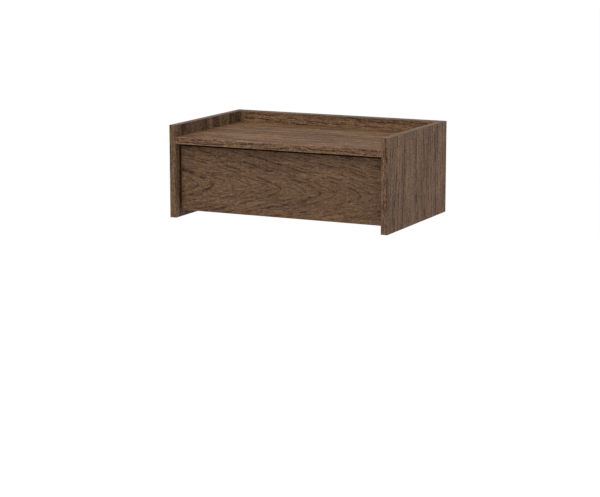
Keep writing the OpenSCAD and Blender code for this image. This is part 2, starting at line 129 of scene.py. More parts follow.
@dataclass(frozen=True)
class Box:
    """A box along the axes, in metres.

    Args:
        low: Its lowest corner.
        high: Its highest corner.
    """

    low: Point
    high: Point

    @classmethod
    def of(cls, node: str) -> "Box":
        """The box of a CAD node at rest."""
        low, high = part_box(node)
        return cls(tuple(low), tuple(high))

    @property
    def centre(self) -> Vector:
        """The point half way between the corners."""
        return (Vector(self.low) + Vector(self.high)) / 2

    @property
    def size(self) -> Vector:
        """The lengths along the three axes."""
        return Vector(self.high) - Vector(self.low)

    def end(self, axis: Axis, side: int) -> float:
        """Where the box ends along an axis: its lower end for -1, its upper end for 1."""
        return (self.low if side < 0 else self.high)[axis.value]

    def around(self, other: "Box") -> "Box":
        """The smallest box that holds this one and another."""
        return Box(tuple(map(min, self.low, other.low)), tuple(map(max, self.high, other.high)))

    def meets(self, other: "Box") -> bool:
        """Whether the two boxes share some space."""
        ends = zip(self.low, self.high, other.low, other.high)
        return all(low < far and near < high for low, high, near, far in ends)

    def changed(self, axis: Axis, low: float | None = None, high: float | None = None) -> "Box":
        """The same box with a new lower or upper end along one axis.

        Args:
            axis: The axis to change.
            low: The new lower end, or None to keep it.
            high: The new upper end, or None to keep it.

        Returns:
            The changed box.
        """
        lows, highs = list(self.low), list(self.high)
        if low is not None:
            lows[axis.value] = low
        if high is not None:
            highs[axis.value] = high
        return Box(tuple(lows), tuple(highs))


# Building the nodes of a material

class Value:
    """A number that varies over a surface, written with Python's own arithmetic.

    Args:
        shader: The shader that the number belongs to.
        socket: The node socket that gives it.
    """

    def __init__(self, shader: "Shader", socket: bpy.types.NodeSocket) -> None:
        """Keeps the shader and the socket."""
        self.shader = shader
        self.socket = socket

    def __add__(self, other: Number) -> "Value":
        """Sum."""
        return self.shader.math("ADD", self, other)

    def __sub__(self, other: Number) -> "Value":
        """Difference."""
        return self.shader.math("SUBTRACT", self, other)

    def __rsub__(self, other: Number) -> "Value":
        """Difference, where this is what is taken away."""
        return self.shader.math("SUBTRACT", other, self)

    def __mul__(self, other: Number) -> "Value":
        """Product."""
        return self.shader.math("MULTIPLY", self, other)

    def __truediv__(self, other: Number) -> "Value":
        """Quotient."""
        return self.shader.math("DIVIDE", self, other)

    __radd__ = __add__
    __rmul__ = __mul__


class Shader:
    """The node tree of one material, around its Principled shader.

    Args:
        name: The material's name.
    """

    # Inputs whose name isn't made of the same words as the argument's
    SOCKETS = {"ior_level": "Specular IOR Level"}
    # Where a Mix node has its two colours and its mixed one
    MIX_INPUTS = (6, 7)
    MIX_OUTPUT = 2

    def __init__(self, name: str) -> None:
        """Makes the material.

        Args:
            name: The material's name.
        """
        self.material = bpy.data.materials.new(name)
        self.material.use_nodes = True
        self.tree = self.material.node_tree
        self.surface = self.tree.nodes["Principled BSDF"]

    def feed(self, socket: bpy.types.NodeSocket, value: object) -> None:
        """Links or sets one input socket.

        Args:
            socket: The input.
            value: A Value, an output socket, or a plain number, colour or vector.
        """
        source = value.socket if isinstance(value, Value) else value
        if isinstance(source, bpy.types.NodeSocket):
            self.tree.links.new(source, socket)
        else:
            socket.default_value = source

    def node(self, kind: str, settings: dict | None = None, sockets: dict | None = None) -> bpy.types.Node:
        """Adds a node.

        Args:
            kind: Its type.
            settings: Its settings, which are set first; "stops" are a ramp's positions and colours.
            sockets: Values or links of its inputs, by name or number.

        Returns:
            The node.
        """
        made = self.tree.nodes.new(kind)
        for key, setting in (settings or {}).items():
            if key == "stops":
                self._set_stops(made.color_ramp, setting)
            else:
                setattr(made, key, setting)
        for key, value in (sockets or {}).items():
            self.feed(made.inputs[key], value)
        return made

    @staticmethod
    def _set_stops(ramp: bpy.types.ColorRamp, stops: Stops) -> None:
        """Gives a ramp its stops.

        Args:
            ramp: The ramp.
            stops: Its stops, each a position and a colour.
        """
        while len(ramp.elements) > 1:
            ramp.elements.remove(ramp.elements[-1])
        for index, (place, colour) in enumerate(stops):
            element = ramp.elements[0] if index == 0 else ramp.elements.new(place)
            element.position = place
            element.color = (*colour, 1.0)

    def math(self, operation: str, *numbers: Number) -> Value:
        """One Math node on values or plain numbers."""
        made = self.node("ShaderNodeMath", {"operation": operation}, dict(enumerate(numbers)))
        return Value(self, made.outputs[0])

    def step(self, low: float, high: float, value: Value) -> Value:
        """A smooth step.

        Args:
            low: Where it starts from 0.
            high: Where it reaches 1.
            value: The value that it depends on.

        Returns:
            The step, from 0 to 1.
        """
        made = self.node(
            "ShaderNodeMapRange",
            {"interpolation_type": "SMOOTHSTEP"},
            {"Value": value, "From Min": low, "From Max": high},
        )
        return Value(self, made.outputs["Result"])

    def place(self) -> list[Value]:
        """Reads the place on the object.

        Returns:
            The three object coordinates, in millimetres.
        """
        coordinates = self.node("ShaderNodeTexCoord")
        scaled = self.node(
            "ShaderNodeVectorMath",
            {"operation": "MULTIPLY"},
            {0: coordinates.outputs["Object"], 1: (1 / MM,) * 3},
        )
        parts = self.node("ShaderNodeSeparateXYZ", sockets={0: scaled.outputs[0]})
        return [Value(self, parts.outputs[axis.value]) for axis in Axis]

    def vector(self, x: Number, y: Number, z: Number) -> bpy.types.NodeSocket:
        """A vector from three values or numbers."""
        return self.node("ShaderNodeCombineXYZ", sockets={0: x, 1: y, 2: z}).outputs[0]

    def noise(self, x: Number, y: Number, z: Number, detail: float = 0.0, roughness: float = 0.5) -> Value:
        """Soft noise about 0.5, one cell per unit of x, y and z.

        Args:
            x: The first coordinate.
            y: The second coordinate.
            z: The third coordinate, or a seed.
            detail: The number of finer layers.
            roughness: How much each finer layer weighs.

        Returns:
            The noise.
        """
        made = self.node(
            "ShaderNodeTexNoise",
            sockets={"Vector": self.vector(x, y, z), "Scale": 1.0, "Detail": detail, "Roughness": roughness},
        )
        return Value(self, made.outputs[0])

    def cells(self, x: Number, y: Number, z: Number) -> tuple[Value, Value]:
        """Random cells, one per unit of x, y and z.

        Args:
            x: The first coordinate.
            y: The second coordinate.
            z: The third coordinate.

        Returns:
            Each cell's own number, and the distance to its centre.
        """
        made = self.node("ShaderNodeTexVoronoi", sockets={"Vector": self.vector(x, y, z), "Scale": 1.0})
        parts = self.node("ShaderNodeSeparateColor", sockets={0: made.outputs["Color"]})
        return Value(self, parts.outputs[0]), Value(self, made.outputs["Distance"])

    def ramp(self, value: Value, stops: Stops) -> bpy.types.NodeSocket:
        """A colour from a ramp."""
        return self.node("ShaderNodeValToRGB", {"stops": stops}, {0: value}).outputs[0]

    def blend(self, share: Number, first: Tint, second: Tint) -> bpy.types.NodeSocket:
        """A mix of two colours.

        Args:
            share: How much of the second one there is.
            first: A plain colour or a node's output.
            second: Another one.

        Returns:
            The mixed colour.
        """
        made = self.node("ShaderNodeMix", {"data_type": "RGBA"}, {0: share})
        for index, colour in zip(self.MIX_INPUTS, (first, second)):
            linked = isinstance(colour, bpy.types.NodeSocket)
            self.feed(made.inputs[index], colour if linked else (*colour, 1.0))
        return made.outputs[self.MIX_OUTPUT]

    def relief(self, height: Value, depth: float) -> bpy.types.NodeSocket:
        """A bumped normal from a height, where 1 stands for a depth in millimetres."""
        made = self.node("ShaderNodeBump", sockets={"Height": height, "Distance": depth * MM})
        return made.outputs["Normal"]

    def dress(self, **inputs: object) -> bpy.types.Material:
        """Sets the Principled shader's inputs.

        Args:
            **inputs: The inputs by name, with underscores for blanks.

        Returns:
            The material.
        """
        for key, value in inputs.items():
            name = self.SOCKETS.get(key, key.replace("_", " ").title())
            self.feed(self.surface.inputs[name], value)
        return self.material


@dataclass(frozen=True, kw_only=True)
class Noise:
    """Noise that a finish is made of: soft, or marks where it is high.

    Args:
        detail: The number of finer layers.
        roughness: How much each finer layer weighs.
        marks: The noise at which a mark starts to show and at which it shows fully, or None for none.
    """

    detail: float = 1.0
    roughness: float = 0.5
    marks: tuple[float, float] | None = None

    def at(self, shader: Shader, x: Number, y: Number, z: Number) -> Value:
        """Draws the noise.

        Args:
            shader: The shader to build it in.
            x: The first coordinate, in cells.
            y: The second coordinate.
            z: The third coordinate, or a seed.

        Returns:
            The noise about 0.5, or how much of a mark there is, from 0 to 1.
        """
        noise = shader.noise(x, y, z, self.detail, self.roughness)
        return shader.step(*self.marks, noise) if self.marks else noise


@dataclass(frozen=True)
class Grain(Noise):
    """Noise that is drawn out along the grain. Lengths are in millimetres.

    Args:
        length: Its usual length, along the grain.
        width: Its usual width, across the grain.
        seed: What sets it apart from a print's other noise.
    """

    length: float
    width: float
    seed: float

    def drawn(self, shader: Shader, along: Value, across: Value, seed: float, stretch: float = 1.0) -> Value:
        """Draws the noise in one print.

        Args:
            shader: The shader to build it in.
            along: The place along the grain.
            across: The place across the grain.
            seed: The print's own number.
            stretch: How long it is, against its usual length.

        Returns:
            The noise or the marks.
        """
        return self.at(shader, along / (self.length * stretch), across / self.width, seed + self.seed)


@dataclass(frozen=True)
class Speckle(Noise):
    """Noise through the whole of a piece, and what it does there. Lengths are in millimetres.

    Args:
        cell: The size of its cells along X, Y and Z.
        tint: How much it lightens the colour.
        rough: How much it roughens the surface.
        height: How far it stands out.
        stain: The colour that it lays over the others, or None.
        cover: How much of that colour shows.
    """

    cell: Point
    tint: float = 0.0
    rough: float = 0.0
    height: float = 0.0
    stain: Colour | None = None
    cover: float = 0.0

    def drawn(self, shader: Shader, place: list[Value]) -> Value:
        """The noise or the marks at a place on the piece."""
        return self.at(shader, *(part / size for part, size in zip(place, self.cell)))


# The finishes

class Finish:
    """A surface finish that makes its material once."""

    _made: dict[str, bpy.types.Material] = {}
    name: str

    def paint(self, shader: Shader) -> bpy.types.Material:
        """Builds the nodes in a shader and gives its material."""
        raise NotImplementedError

    def material(self) -> bpy.types.Material:
        """Makes the finish's material on first use.

        Returns:
            The material.
        """
        if self.name not in Finish._made:
            Finish._made[self.name] = self.paint(Shader(self.name))
        return Finish._made[self.name]


@dataclass(frozen=True)
class Oak(Finish):
    """Dark brown oak print with arches, pores and fibres. Lengths are in millimetres.

    Args:
        name: The material's name.
        along: The direction of the grain.
        across: The direction across the grain, in the printed face.
        heart: Where the arches' centre line lies, across the grain.
        reach: How round the arches' tips are.
        taper: The slope of the arches' legs, against the centre line.
        spread: How the legs run on: 0.5 for straight ones, more for ones that flatten out.
        ring: The distance between rings.
        line_width: How far a ring's dark line reaches.
        sway: How far the grain wanders from a straight line.
        tone: The print's brightness.
        figure: How much the rings show.
        streak: How much the dark dashes and light flecks show.
        dash: How long they are, against their usual length.
        grit: How much the small light and dark grains show.
        bands: How much the long light and dark bands show.
        band_width: The bands' usual width.
        band_length: The bands' usual length.
        rough: The print's roughness between the pores.
        shine: How strongly it reflects, as the shader's specular level.
        seed: A number that makes the print its own.
    """

    name: str
    along: Axis
    across: Axis
    heart: float = 600.0
    reach: float = 8.0
    taper: float = 0.02
    spread: float = 0.5
    ring: float = 10.0
    line_width: float = 1.9
    sway: float = 9.0
    tone: float = 1.0
    figure: float = 1.0
    streak: float = 1.0
    dash: float = 1.0
    grit: float = 0.8
    bands: float = 0.4
    band_width: float = 7.0
    band_length: float = 260.0
    rough: float = 0.66
    shine: float = 0.22
    seed: float = 0.0

    STOPS = (
        (0.0, (0.0200, 0.0085, 0.0040)),
        (0.5, (0.0770, 0.0380, 0.0170)),
        (1.0, (0.1620, 0.0950, 0.0480)),
    )

    # What the print is made of
    SWAYS = Grain(120.0, 45.0, 0.0)
    RIPPLES = Grain(26.0, 12.0, 1.1)
    PORES = Grain(7.0, 1.4, 2.9, roughness=0.6, marks=(0.50, 0.62))
    JAGS = Grain(6.0, 3.0, 4.1, detail=2.0, roughness=0.6)
    UNBROKEN = Grain(22.0, 9.0, 5.3, marks=(0.40, 0.56))
    DASHES = Grain(16.0, 1.7, 6.7, marks=(0.56, 0.66))
    FLECKS = Grain(10.0, 2.1, 9.1, marks=(0.54, 0.68))
    FIBRES = Grain(24.0, 2.4, 11.3, detail=3.0, roughness=0.75)
    CLOUDS = Grain(130.0, 28.0, 13.9, detail=2.0)
    GRITS = Grain(4.0, 2.2, 15.1, roughness=0.6)

    # How far each part shifts the shade, which runs from 0 for the darkest colour to 1
    BASE_SHADE = 0.58
    CLOUD_SHADE = 0.30
    FIBRE_SHADE = 1.1
    FLECK_SHADE = 0.24
    PORE_SHADE = 0.15
    DASH_SHADE = 0.20
    RING_SHADE = 0.42

    # The grain's flow round the arches: the distance over which it turns, and its lean
    SPAN = 30.0
    FLOW = 0.3
    # How far ripples and jags move a line
    RIPPLE = 3.0
    JAG = 5.0
    # How far bands follow the sway
    BAND_SWAY = 0.3
    # How uneven the rings' distances are, and over how many millimetres
    UNEVEN = 1.6
    UNEVEN_REACH = 14.0
    # The lean between which an arch's tip fades, how much of it shows at least, and a line's dark core
    TIP = (0.15, 0.75)
    TIP_SHOWN = 0.85
    CORE = 0.4
    # How much of a ring shows where it is broken
    FAINT = 0.12
    # The relief: how rough the dark marks are, the face's level, the fibres' share, and the depth
    MARK_ROUGHNESS = 0.3
    LEVEL = 0.8
    FIBRE_RELIEF = 0.3
    DEPTH = 0.08

    def paint(self, shader: Shader) -> bpy.types.Material:
        """Builds the nodes.

        Args:
            shader: The shader to build them in.

        Returns:
            The material.
        """
        place = shader.place()
        u, v = place[self.along.value], place[self.across.value]

        def drawn(grain: Grain, across: Value, stretch: float = 1.0) -> Value:
            """Draws one part of the print."""
            return grain.drawn(shader, u, across, self.seed, stretch)

        sway = (drawn(self.SWAYS, v) - 0.5) * (2 * self.sway)
        ripple = (drawn(self.RIPPLES, v) - 0.5) * self.RIPPLE
        side = v + sway + ripple - self.heart
        rings = self._rings(shader, u, v, side)
        lean = side / shader.math("SQRT", side * side + self.SPAN**2)
        flow = side + lean * u * (self.FLOW * self.taper)
        fibres = drawn(self.FIBRES, flow, self.dash) - 0.5
        grits = drawn(self.GRITS, v) - 0.5
        clouds = drawn(self.CLOUDS, v) - 0.5
        stripes = Grain(self.band_length, self.band_width, seed=17.7, detail=2.0, roughness=0.6)
        bands = drawn(stripes, v + sway * self.BAND_SWAY) - 0.5
        marks = (
            drawn(self.PORES, flow, self.dash) * self.PORE_SHADE
            + drawn(self.DASHES, flow, self.dash) * self.DASH_SHADE
            + rings * self.RING_SHADE
        )
        lights = drawn(self.FLECKS, flow, self.dash) * self.FLECK_SHADE
        streaks = fibres * self.FIBRE_SHADE + grits * self.grit - marks + lights
        shade = self.BASE_SHADE + clouds * self.CLOUD_SHADE + bands * self.bands + streaks * self.streak
        return shader.dress(
            base_color=shader.ramp(shade, [(at, self._toned(colour)) for at, colour in self.STOPS]),
            roughness=self.rough + marks * self.MARK_ROUGHNESS,
            ior_level=self.shine,
            normal=shader.relief(self.LEVEL + fibres * self.FIBRE_RELIEF - marks, self.DEPTH),
        )

    def _rings(self, shader: Shader, u: Value, v: Value, side: Value) -> Value:
        """The thin dark lines of the rings, which come and go and make the arches.

        Args:
            shader: The shader to build them in.
            u: The place along the grain.
            v: The place across the grain.
            side: The distance from the arches' centre line.

        Returns:
            How much of a line there is.
        """
        square = side * side + self.reach**2
        span = shader.math("POWER", square, self.spread) / self.SPAN ** (2 * self.spread - 1)
        lean = side * span / square * (2 * self.spread)
        slope = shader.math("SQRT", lean * lean + self.taper**2)
        jag = (self.JAGS.drawn(shader, u, v, self.seed) - 0.5) * self.JAG
        arch = span + u * self.taper + jag * slope
        uneven = shader.noise(arch / self.UNEVEN_REACH, self.seed, 0.0) * self.UNEVEN
        cycle = shader.math("FRACT", arch / self.ring + uneven)
        distance = shader.math("ABSOLUTE", cycle - 0.5) * self.ring / slope
        unbroken = self.UNBROKEN.drawn(shader, u, v, self.seed)
        tip = 1 - shader.step(*self.TIP, shader.math("ABSOLUTE", lean))
        shown = shader.math("MAXIMUM", unbroken, tip * self.TIP_SHOWN)
        line = 1 - shader.step(self.CORE, self.line_width, distance)
        return line * (self.FAINT + (1 - self.FAINT) * shown) * self.figure

    def _toned(self, colour: Colour) -> Colour:
        """A colour of the print at its brightness."""
        return tuple(part * self.tone for part in colour)


@dataclass(frozen=True)
class Chipboard(Finish):
    """The raw core of a board, seen at unbanded edges and in holes. Lengths are in millimetres.

    Args:
        name: The material's name.
        flake: A flake's usual length.
        flake_height: Its height, against its length.
        dust: The length of the dust between the flakes, against theirs.
        dust_height: Its height, against the flakes' length.
        bend: How far the flakes are bent, against their length.
        rough: The core's roughness without the dust.
        depth: The depth of its relief.
    """

    name: str = "raw_chipboard"
    flake: float = 2.2
    flake_height: float = 0.45
    dust: float = 0.4
    dust_height: float = 0.2
    bend: float = 1.2
    rough: float = 0.85
    depth: float = 0.25

    BENDS = Speckle((3.0, 3.0, 3.0), detail=2.0)
    STOPS = ((0.0, (0.20, 0.12, 0.065)), (0.5, (0.36, 0.235, 0.135)), (1.0, (0.50, 0.35, 0.22)))

    # The dust's share in the colour and in the relief, and how much it roughens the surface
    DUST_TINT = 0.3
    DUST_HEIGHT = 0.4
    DUST_ROUGH = 0.1

    def paint(self, shader: Shader) -> bpy.types.Material:
        """Builds the nodes.

        Args:
            shader: The shader to build them in.

        Returns:
            The material.
        """
        place = x, y, z = shader.place()
        bends = self.BENDS.drawn(shader, place) * self.bend
        flake, dust = self.flake, self.dust * self.flake
        tint, reach = shader.cells(x / flake + bends, y / flake + bends, z / (self.flake_height * flake))
        fine, _ = shader.cells(x / dust, y / dust, z / (self.dust_height * flake))
        shade = tint * (1 - self.DUST_TINT) + fine * self.DUST_TINT
        height = reach * (1 - self.DUST_HEIGHT) + fine * self.DUST_HEIGHT
        return shader.dress(
            base_color=shader.ramp(shade, self.STOPS),
            roughness=self.rough + fine * self.DUST_ROUGH,
            normal=shader.relief(height, self.depth),
        )


@dataclass(frozen=True)
class Speckled(Finish):
    """A finish that is made of speckles. Lengths are in millimetres.

    Args:
        name: The material's name.
        speckles: The speckles.
        stops: The colours, each with the shade at which it shows.
        rough: The roughness without the speckles.
        depth: The depth of the relief.
        shade: The shade without the speckles.
        metallic: 1 for bare metal.
        shine: How strongly it reflects, as the shader's specular level.
    """

    name: str
    speckles: tuple[Speckle, ...]
    stops: Stops
    rough: float
    depth: float
    shade: float = 0.0
    metallic: float = 0.0
    shine: float = 0.5

    def paint(self, shader: Shader) -> bpy.types.Material:
        """Builds the nodes.

        Args:
            shader: The shader to build them in.

        Returns:
            The material.
        """
        place = shader.place()
        drawn = [(speckle, speckle.drawn(shader, place)) for speckle in self.speckles]
        shade = sum((noise * speckle.tint for speckle, noise in drawn if speckle.tint), self.shade)
        rough = sum((noise * speckle.rough for speckle, noise in drawn if speckle.rough), self.rough)
        height = sum(noise * speckle.height for speckle, noise in drawn if speckle.height)
        colour = shader.ramp(shade, self.stops)
        for speckle, noise in drawn:
            if speckle.stain:
                colour = shader.blend(noise * speckle.cover, colour, speckle.stain)
        return shader.dress(
            base_color=colour,
            metallic=self.metallic,
            roughness=rough,
            ior_level=self.shine,
            normal=shader.relief(height, self.depth),
        )


@dataclass(frozen=True)
class TrimmedEdging(Speckled):
    """The solid plastic of the edging, with scrapes and chatter where its corners are trimmed."""

    name: str = "trimmed_edging"
    speckles: tuple[Speckle, ...] = (
        Speckle((1.4, 9.0, 9.0), detail=3.0, roughness=0.6, tint=0.7, rough=0.2, height=1.0),
        Speckle((6.0, 6.0, 6.0), tint=0.3),
    )
    stops: Stops = (
        (0.3, (0.030, 0.010, 0.005)),
        (0.5, (0.052, 0.021, 0.010)),
        (0.75, (0.085, 0.042, 0.020)),
    )
    rough: float = 0.5
    depth: float = 0.04


@dataclass(frozen=True)
class Hardboard(Speckled):
    """Thin fibreboard with a printed upper face: its fuzz and faint clouds."""

    name: str = "hardboard"
    speckles: tuple[Speckle, ...] = (
        Speckle((1.3, 1.3, 1.3), detail=4.0, roughness=0.7, tint=0.75, rough=0.2, height=1.0),
        Speckle((40.0, 40.0, 40.0), detail=2.0, tint=0.35),
    )
    stops: Stops = ((0.25, (0.085, 0.046, 0.024)), (0.5, (0.15, 0.086, 0.047)), (0.8, (0.215, 0.135, 0.08)))
    rough: float = 0.62
    depth: float = 0.08
    shade: float = -0.05
    shine: float = 0.3


@dataclass(frozen=True)
class Beech(Speckled):
    """Turned beech of the dowels, with its grain and small dark flecks."""

    name: str = "beech"
    speckles: tuple[Speckle, ...] = (
        Speckle((14.0, 1.1, 1.1), detail=3.0, roughness=0.6, tint=1.0, rough=0.2, height=1.0),
        Speckle((2.2, 0.5, 0.5), marks=(0.62, 0.70), tint=-0.25),
    )
    stops: Stops = ((0.2, (0.40, 0.235, 0.12)), (0.5, (0.56, 0.37, 0.21)), (0.8, (0.66, 0.48, 0.30)))
    rough: float = 0.55
    depth: float = 0.05


@dataclass(frozen=True)
class CoatedSteel(Speckled):
    """Sheet steel with a dark coat: its fine texture, clouds, and rubbed streaks."""

    name: str = "coated_steel"
    speckles: tuple[Speckle, ...] = (
        Speckle((0.9, 0.9, 0.9), detail=2.0, roughness=0.6, tint=0.4, rough=0.2, height=1.0),
        Speckle((25.0, 60.0, 25.0), detail=3.0, tint=0.6),
        Speckle((1.5, 30.0, 1.5), detail=3.0, roughness=0.65, marks=(0.60, 0.78), tint=0.15, rough=-0.12),
    )
    stops: Stops = (
        (0.3, (0.016, 0.012, 0.010)),
        (0.55, (0.027, 0.021, 0.018)),
        (0.8, (0.050, 0.041, 0.036)),
    )
    rough: float = 0.42
    depth: float = 0.04


@dataclass(frozen=True)
class ZincPlate(Speckled):
    """Bright zinc plate with fine turning marks and duller clouds."""

    name: str = "zinc_plated_steel"
    speckles: tuple[Speckle, ...] = (
        Speckle((0.35, 0.35, 0.35), detail=3.0, roughness=0.6, tint=0.3, rough=0.08, height=1.0),
        Speckle((5.0, 5.0, 5.0), detail=3.0, roughness=0.6, tint=0.7, rough=0.22),
    )
    stops: Stops = ((0.3, (0.36, 0.35, 0.33)), (0.5, (0.52, 0.52, 0.51)), (0.75, (0.66, 0.67, 0.68)))
    rough: float = 0.24
    depth: float = 0.015
    metallic: float = 1.0


@dataclass(frozen=True)
class Nylon(Speckled):
    """Moulded white nylon, slightly yellowed and clouded, with a scuffed tread."""

    name: str = "nylon"
    speckles: tuple[Speckle, ...] = (
        Speckle((4.0, 4.0, 4.0), detail=3.0, tint=1.0, rough=0.08, height=0.5),
        Speckle(
            (3.5, 0.6, 0.6), detail=3.0, roughness=0.65, marks=(0.58, 0.72), rough=0.2, height=-0.5,
            stain=(0.45, 0.43, 0.40), cover=0.3,
        ),
    )
    stops: Stops = ((0.3, (0.72, 0.71, 0.66)), (0.7, (0.82, 0.81, 0.78)))
    rough: float = 0.38
    depth: float = 0.03


CORE = Chipboard()


# Modelling a piece

def deselect() -> None:
    """Leaves nothing selected."""
    bpy.ops.object.select_all(action="DESELECT")


def pick(piece: bpy.types.Object) -> None:
    """Makes one object the only selected one, and the active one.

    Args:
        piece: The object.
    """
    deselect()
    piece.select_set(True)
    bpy.context.view_layer.objects.active = piece


@contextmanager
def edit_mode() -> Iterator[None]:
    """Runs what stands inside it in edit mode, on the active object."""
    bpy.ops.object.mode_set(mode="EDIT")
    try:
        yield
    finally:
        bpy.ops.object.mode_set(mode="OBJECT")


def clear_selection(piece: bpy.types.Object, selection: Selection) -> bpy.types.Mesh:
    """Picks a piece and leaves nothing of its mesh selected.

    Args:
        piece: The piece.
        selection: What will be selected next.

    Returns:
        The piece's mesh.
    """
    pick(piece)
    bpy.context.tool_settings.mesh_select_mode = selection.value
    for group in (piece.data.vertices, piece.data.edges, piece.data.polygons):
        group.foreach_set("select", [False] * len(group))
    return piece.data


def select_edges(piece: bpy.types.Object, chosen: EdgeTest) -> None:
    """Selects the edges of a piece that pass a test, and nothing else.

    Args:
        piece: The piece.
        chosen: The test, on an edge's two end points.
    """
    mesh = clear_selection(piece, Selection.EDGES)
    for edge in mesh.edges:
        edge.select = chosen(*(mesh.vertices[index].co for index in edge.vertices))


def select_faces(piece: bpy.types.Object, chosen: FaceTest) -> None:
    """Selects the faces of a piece that pass a test, and nothing else."""
    for polygon in clear_selection(piece, Selection.FACES).polygons:
        polygon.select = chosen(polygon)


def every_edge(_first: Vector, _second: Vector) -> bool:
    """The test that every edge passes."""
    return True


def settle(piece: bpy.types.Object, name: str) -> bpy.types.Object:
    """Names a new primitive and puts its place into its mesh.

    Args:
        piece: The primitive, which is the only object selected.
        name: Its name.

    Returns:
        The same object.
    """
    bpy.ops.object.transform_apply(location=True, rotation=True, scale=True)
    piece.name = name
    piece.data.name = name
    return piece


def block(name: str, box: Box) -> bpy.types.Object:
    """A block between a box's corners, to be shaped further.

    Args:
        name: Its name.
        box: The box.

    Returns:
        The block.
    """
    deselect()
    bpy.ops.mesh.primitive_cube_add(size=1, location=box.centre, scale=box.size)
    return settle(bpy.context.active_object, name)


# The rotation that lays a primitive's Z along each axis
TURNS = {Axis.X: (0.0, math.pi / 2, 0.0), Axis.Y: (-math.pi / 2, 0.0, 0.0), Axis.Z: (0.0, 0.0, 0.0)}


def rod(
    name: str,
    axis: Axis,
    centre: Vector,
    start: float,
    end: float,
    radius: float,
    end_radius: float | None = None,
    sides: int = 48,
) -> bpy.types.Object:
    """A cylinder or cone along one axis, to be shaped further or to cut with.

    Args:
        name: Its name.
        axis: The direction that it runs in.
        centre: A point on its centre line.
        start: Where it starts along the axis.
        end: Where it ends along the axis.
        radius: Its radius at the start.
        end_radius: Its radius at the end, where that differs.
        sides: Its number of sides.

    Returns:
        The object.
    """
    middle = Vector(centre)
    middle[axis.value] = (start + end) / 2
    deselect()
    bpy.ops.mesh.primitive_cone_add(
        vertices=sides,
        radius1=radius,
        radius2=radius if end_radius is None else end_radius,
        depth=end - start,
        location=middle,
        rotation=TURNS[axis],
    )
    return settle(bpy.context.active_object, name)


def paint_with(piece: bpy.types.Object, finishes: Iterable[Finish]) -> None:
    """Gives a piece its material slots.

    Args:
        piece: The piece.
        finishes: The finishes, in the slots' order.
    """
    piece.data.materials.clear()
    for finish in finishes:
        piece.data.materials.append(finish.material())


def modify(piece: bpy.types.Object, kind: str, **settings: object) -> None:
    """Adds a modifier to a piece and applies it.

    Args:
        piece: The piece.
        kind: The modifier's type.
        **settings: Its settings.
    """
    pick(piece)
    bpy.ops.object.modifier_add(type=kind)
    modifier = piece.modifiers[-1]
    for key, value in settings.items():
        setattr(modifier, key, value)
    bpy.ops.object.modifier_apply(modifier=modifier.name)


def cut(
    piece: bpy.types.Object, cutter: bpy.types.Object, operation: Combination = Combination.TAKEN_OUT
) -> None:
    """Takes a second shape out of a piece or adds it, and takes that shape away.

    Args:
        piece: The piece.
        cutter: The second shape, whose material the new faces get.
        operation: What happens with it.
    """
    settings = {"operation": operation.value, "solver": "EXACT", "material_mode": "TRANSFER"}
    modify(piece, "BOOLEAN", object=cutter, **settings)
    bpy.data.objects.remove(cutter)


def take_out(board: bpy.types.Object, cutter: bpy.types.Object) -> None:
    """Cuts a board, so that the cut shows its raw core."""
    paint_with(cutter, [CORE])
    cut(board, cutter)


def bevel_edges(
    piece: bpy.types.Object, chosen: EdgeTest, width: float, segments: int, slot: int = -1
) -> None:
    """Rounds the edges of a piece that pass a test.

    Args:
        piece: The piece.
        chosen: The test, on an edge's two end points.
        width: The bevel's width.
        segments: Its number of steps.
        slot: The material slot of the new faces, or -1 for their neighbours'.
    """
    select_edges(piece, chosen)
    with edit_mode():
        bpy.ops.mesh.bevel(offset=width, segments=segments, profile=0.5, affect="EDGES", material=slot)


def soften(piece: bpy.types.Object, width: float, angle: float) -> None:
    """Rounds the edges of a piece where its faces meet at more than an angle."""
    modify(piece, "BEVEL", width=width, segments=2, limit_method="ANGLE", angle_limit=angle)


def seal(piece: bpy.types.Object) -> None:
    """Merges a piece's doubled corners, so that it is closed, and turns its faces outwards.

    Args:
        piece: The piece.
    """
    pick(piece)
    with edit_mode():
        bpy.ops.mesh.select_all(action="SELECT")
        bpy.ops.mesh.remove_doubles(threshold=SAME_PLACE)
        bpy.ops.mesh.dissolve_degenerate(threshold=SAME_PLACE)
        bpy.ops.mesh.normals_make_consistent(inside=False)


def smooth(piece: bpy.types.Object) -> None:
    """Shades the rounded edges smoothly and keeps the flat faces flat.

    Args:
        piece: The piece.
    """
    seal(piece)
    bpy.ops.object.shade_smooth_by_angle(angle=SMOOTH_ANGLE)
    modify(piece, "WEIGHTED_NORMAL", keep_sharp=True)


def join(parts: list[bpy.types.Object], name: str) -> bpy.types.Object:
    """Makes one object of several, which stay separate shells.

    Args:
        parts: The objects.
        name: The name of the one that is left.

    Returns:
        That object.
    """
    pick(parts[0])
    for part in parts[1:]:
        part.select_set(True)
    if len(parts) > 1:
        bpy.ops.object.join()
    parts[0].name = name
    parts[0].data.name = name
    return parts[0]


def hand_over(piece: bpy.types.Object, body: str, slot: str, *nodes: str) -> None:
    """Rides a piece on its body, in the place of CAD nodes, and reports it.

    Args:
        piece: The finished piece.
        body: The body that it rides on.
        slot: The record's material slot; not used.
        *nodes: The CAD nodes that it replaces.
    """
    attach(piece, body)
    if nodes:
        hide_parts(*nodes)
    log.info("%s: %d faces on %s", piece.name, len(piece.data.polygons), body)


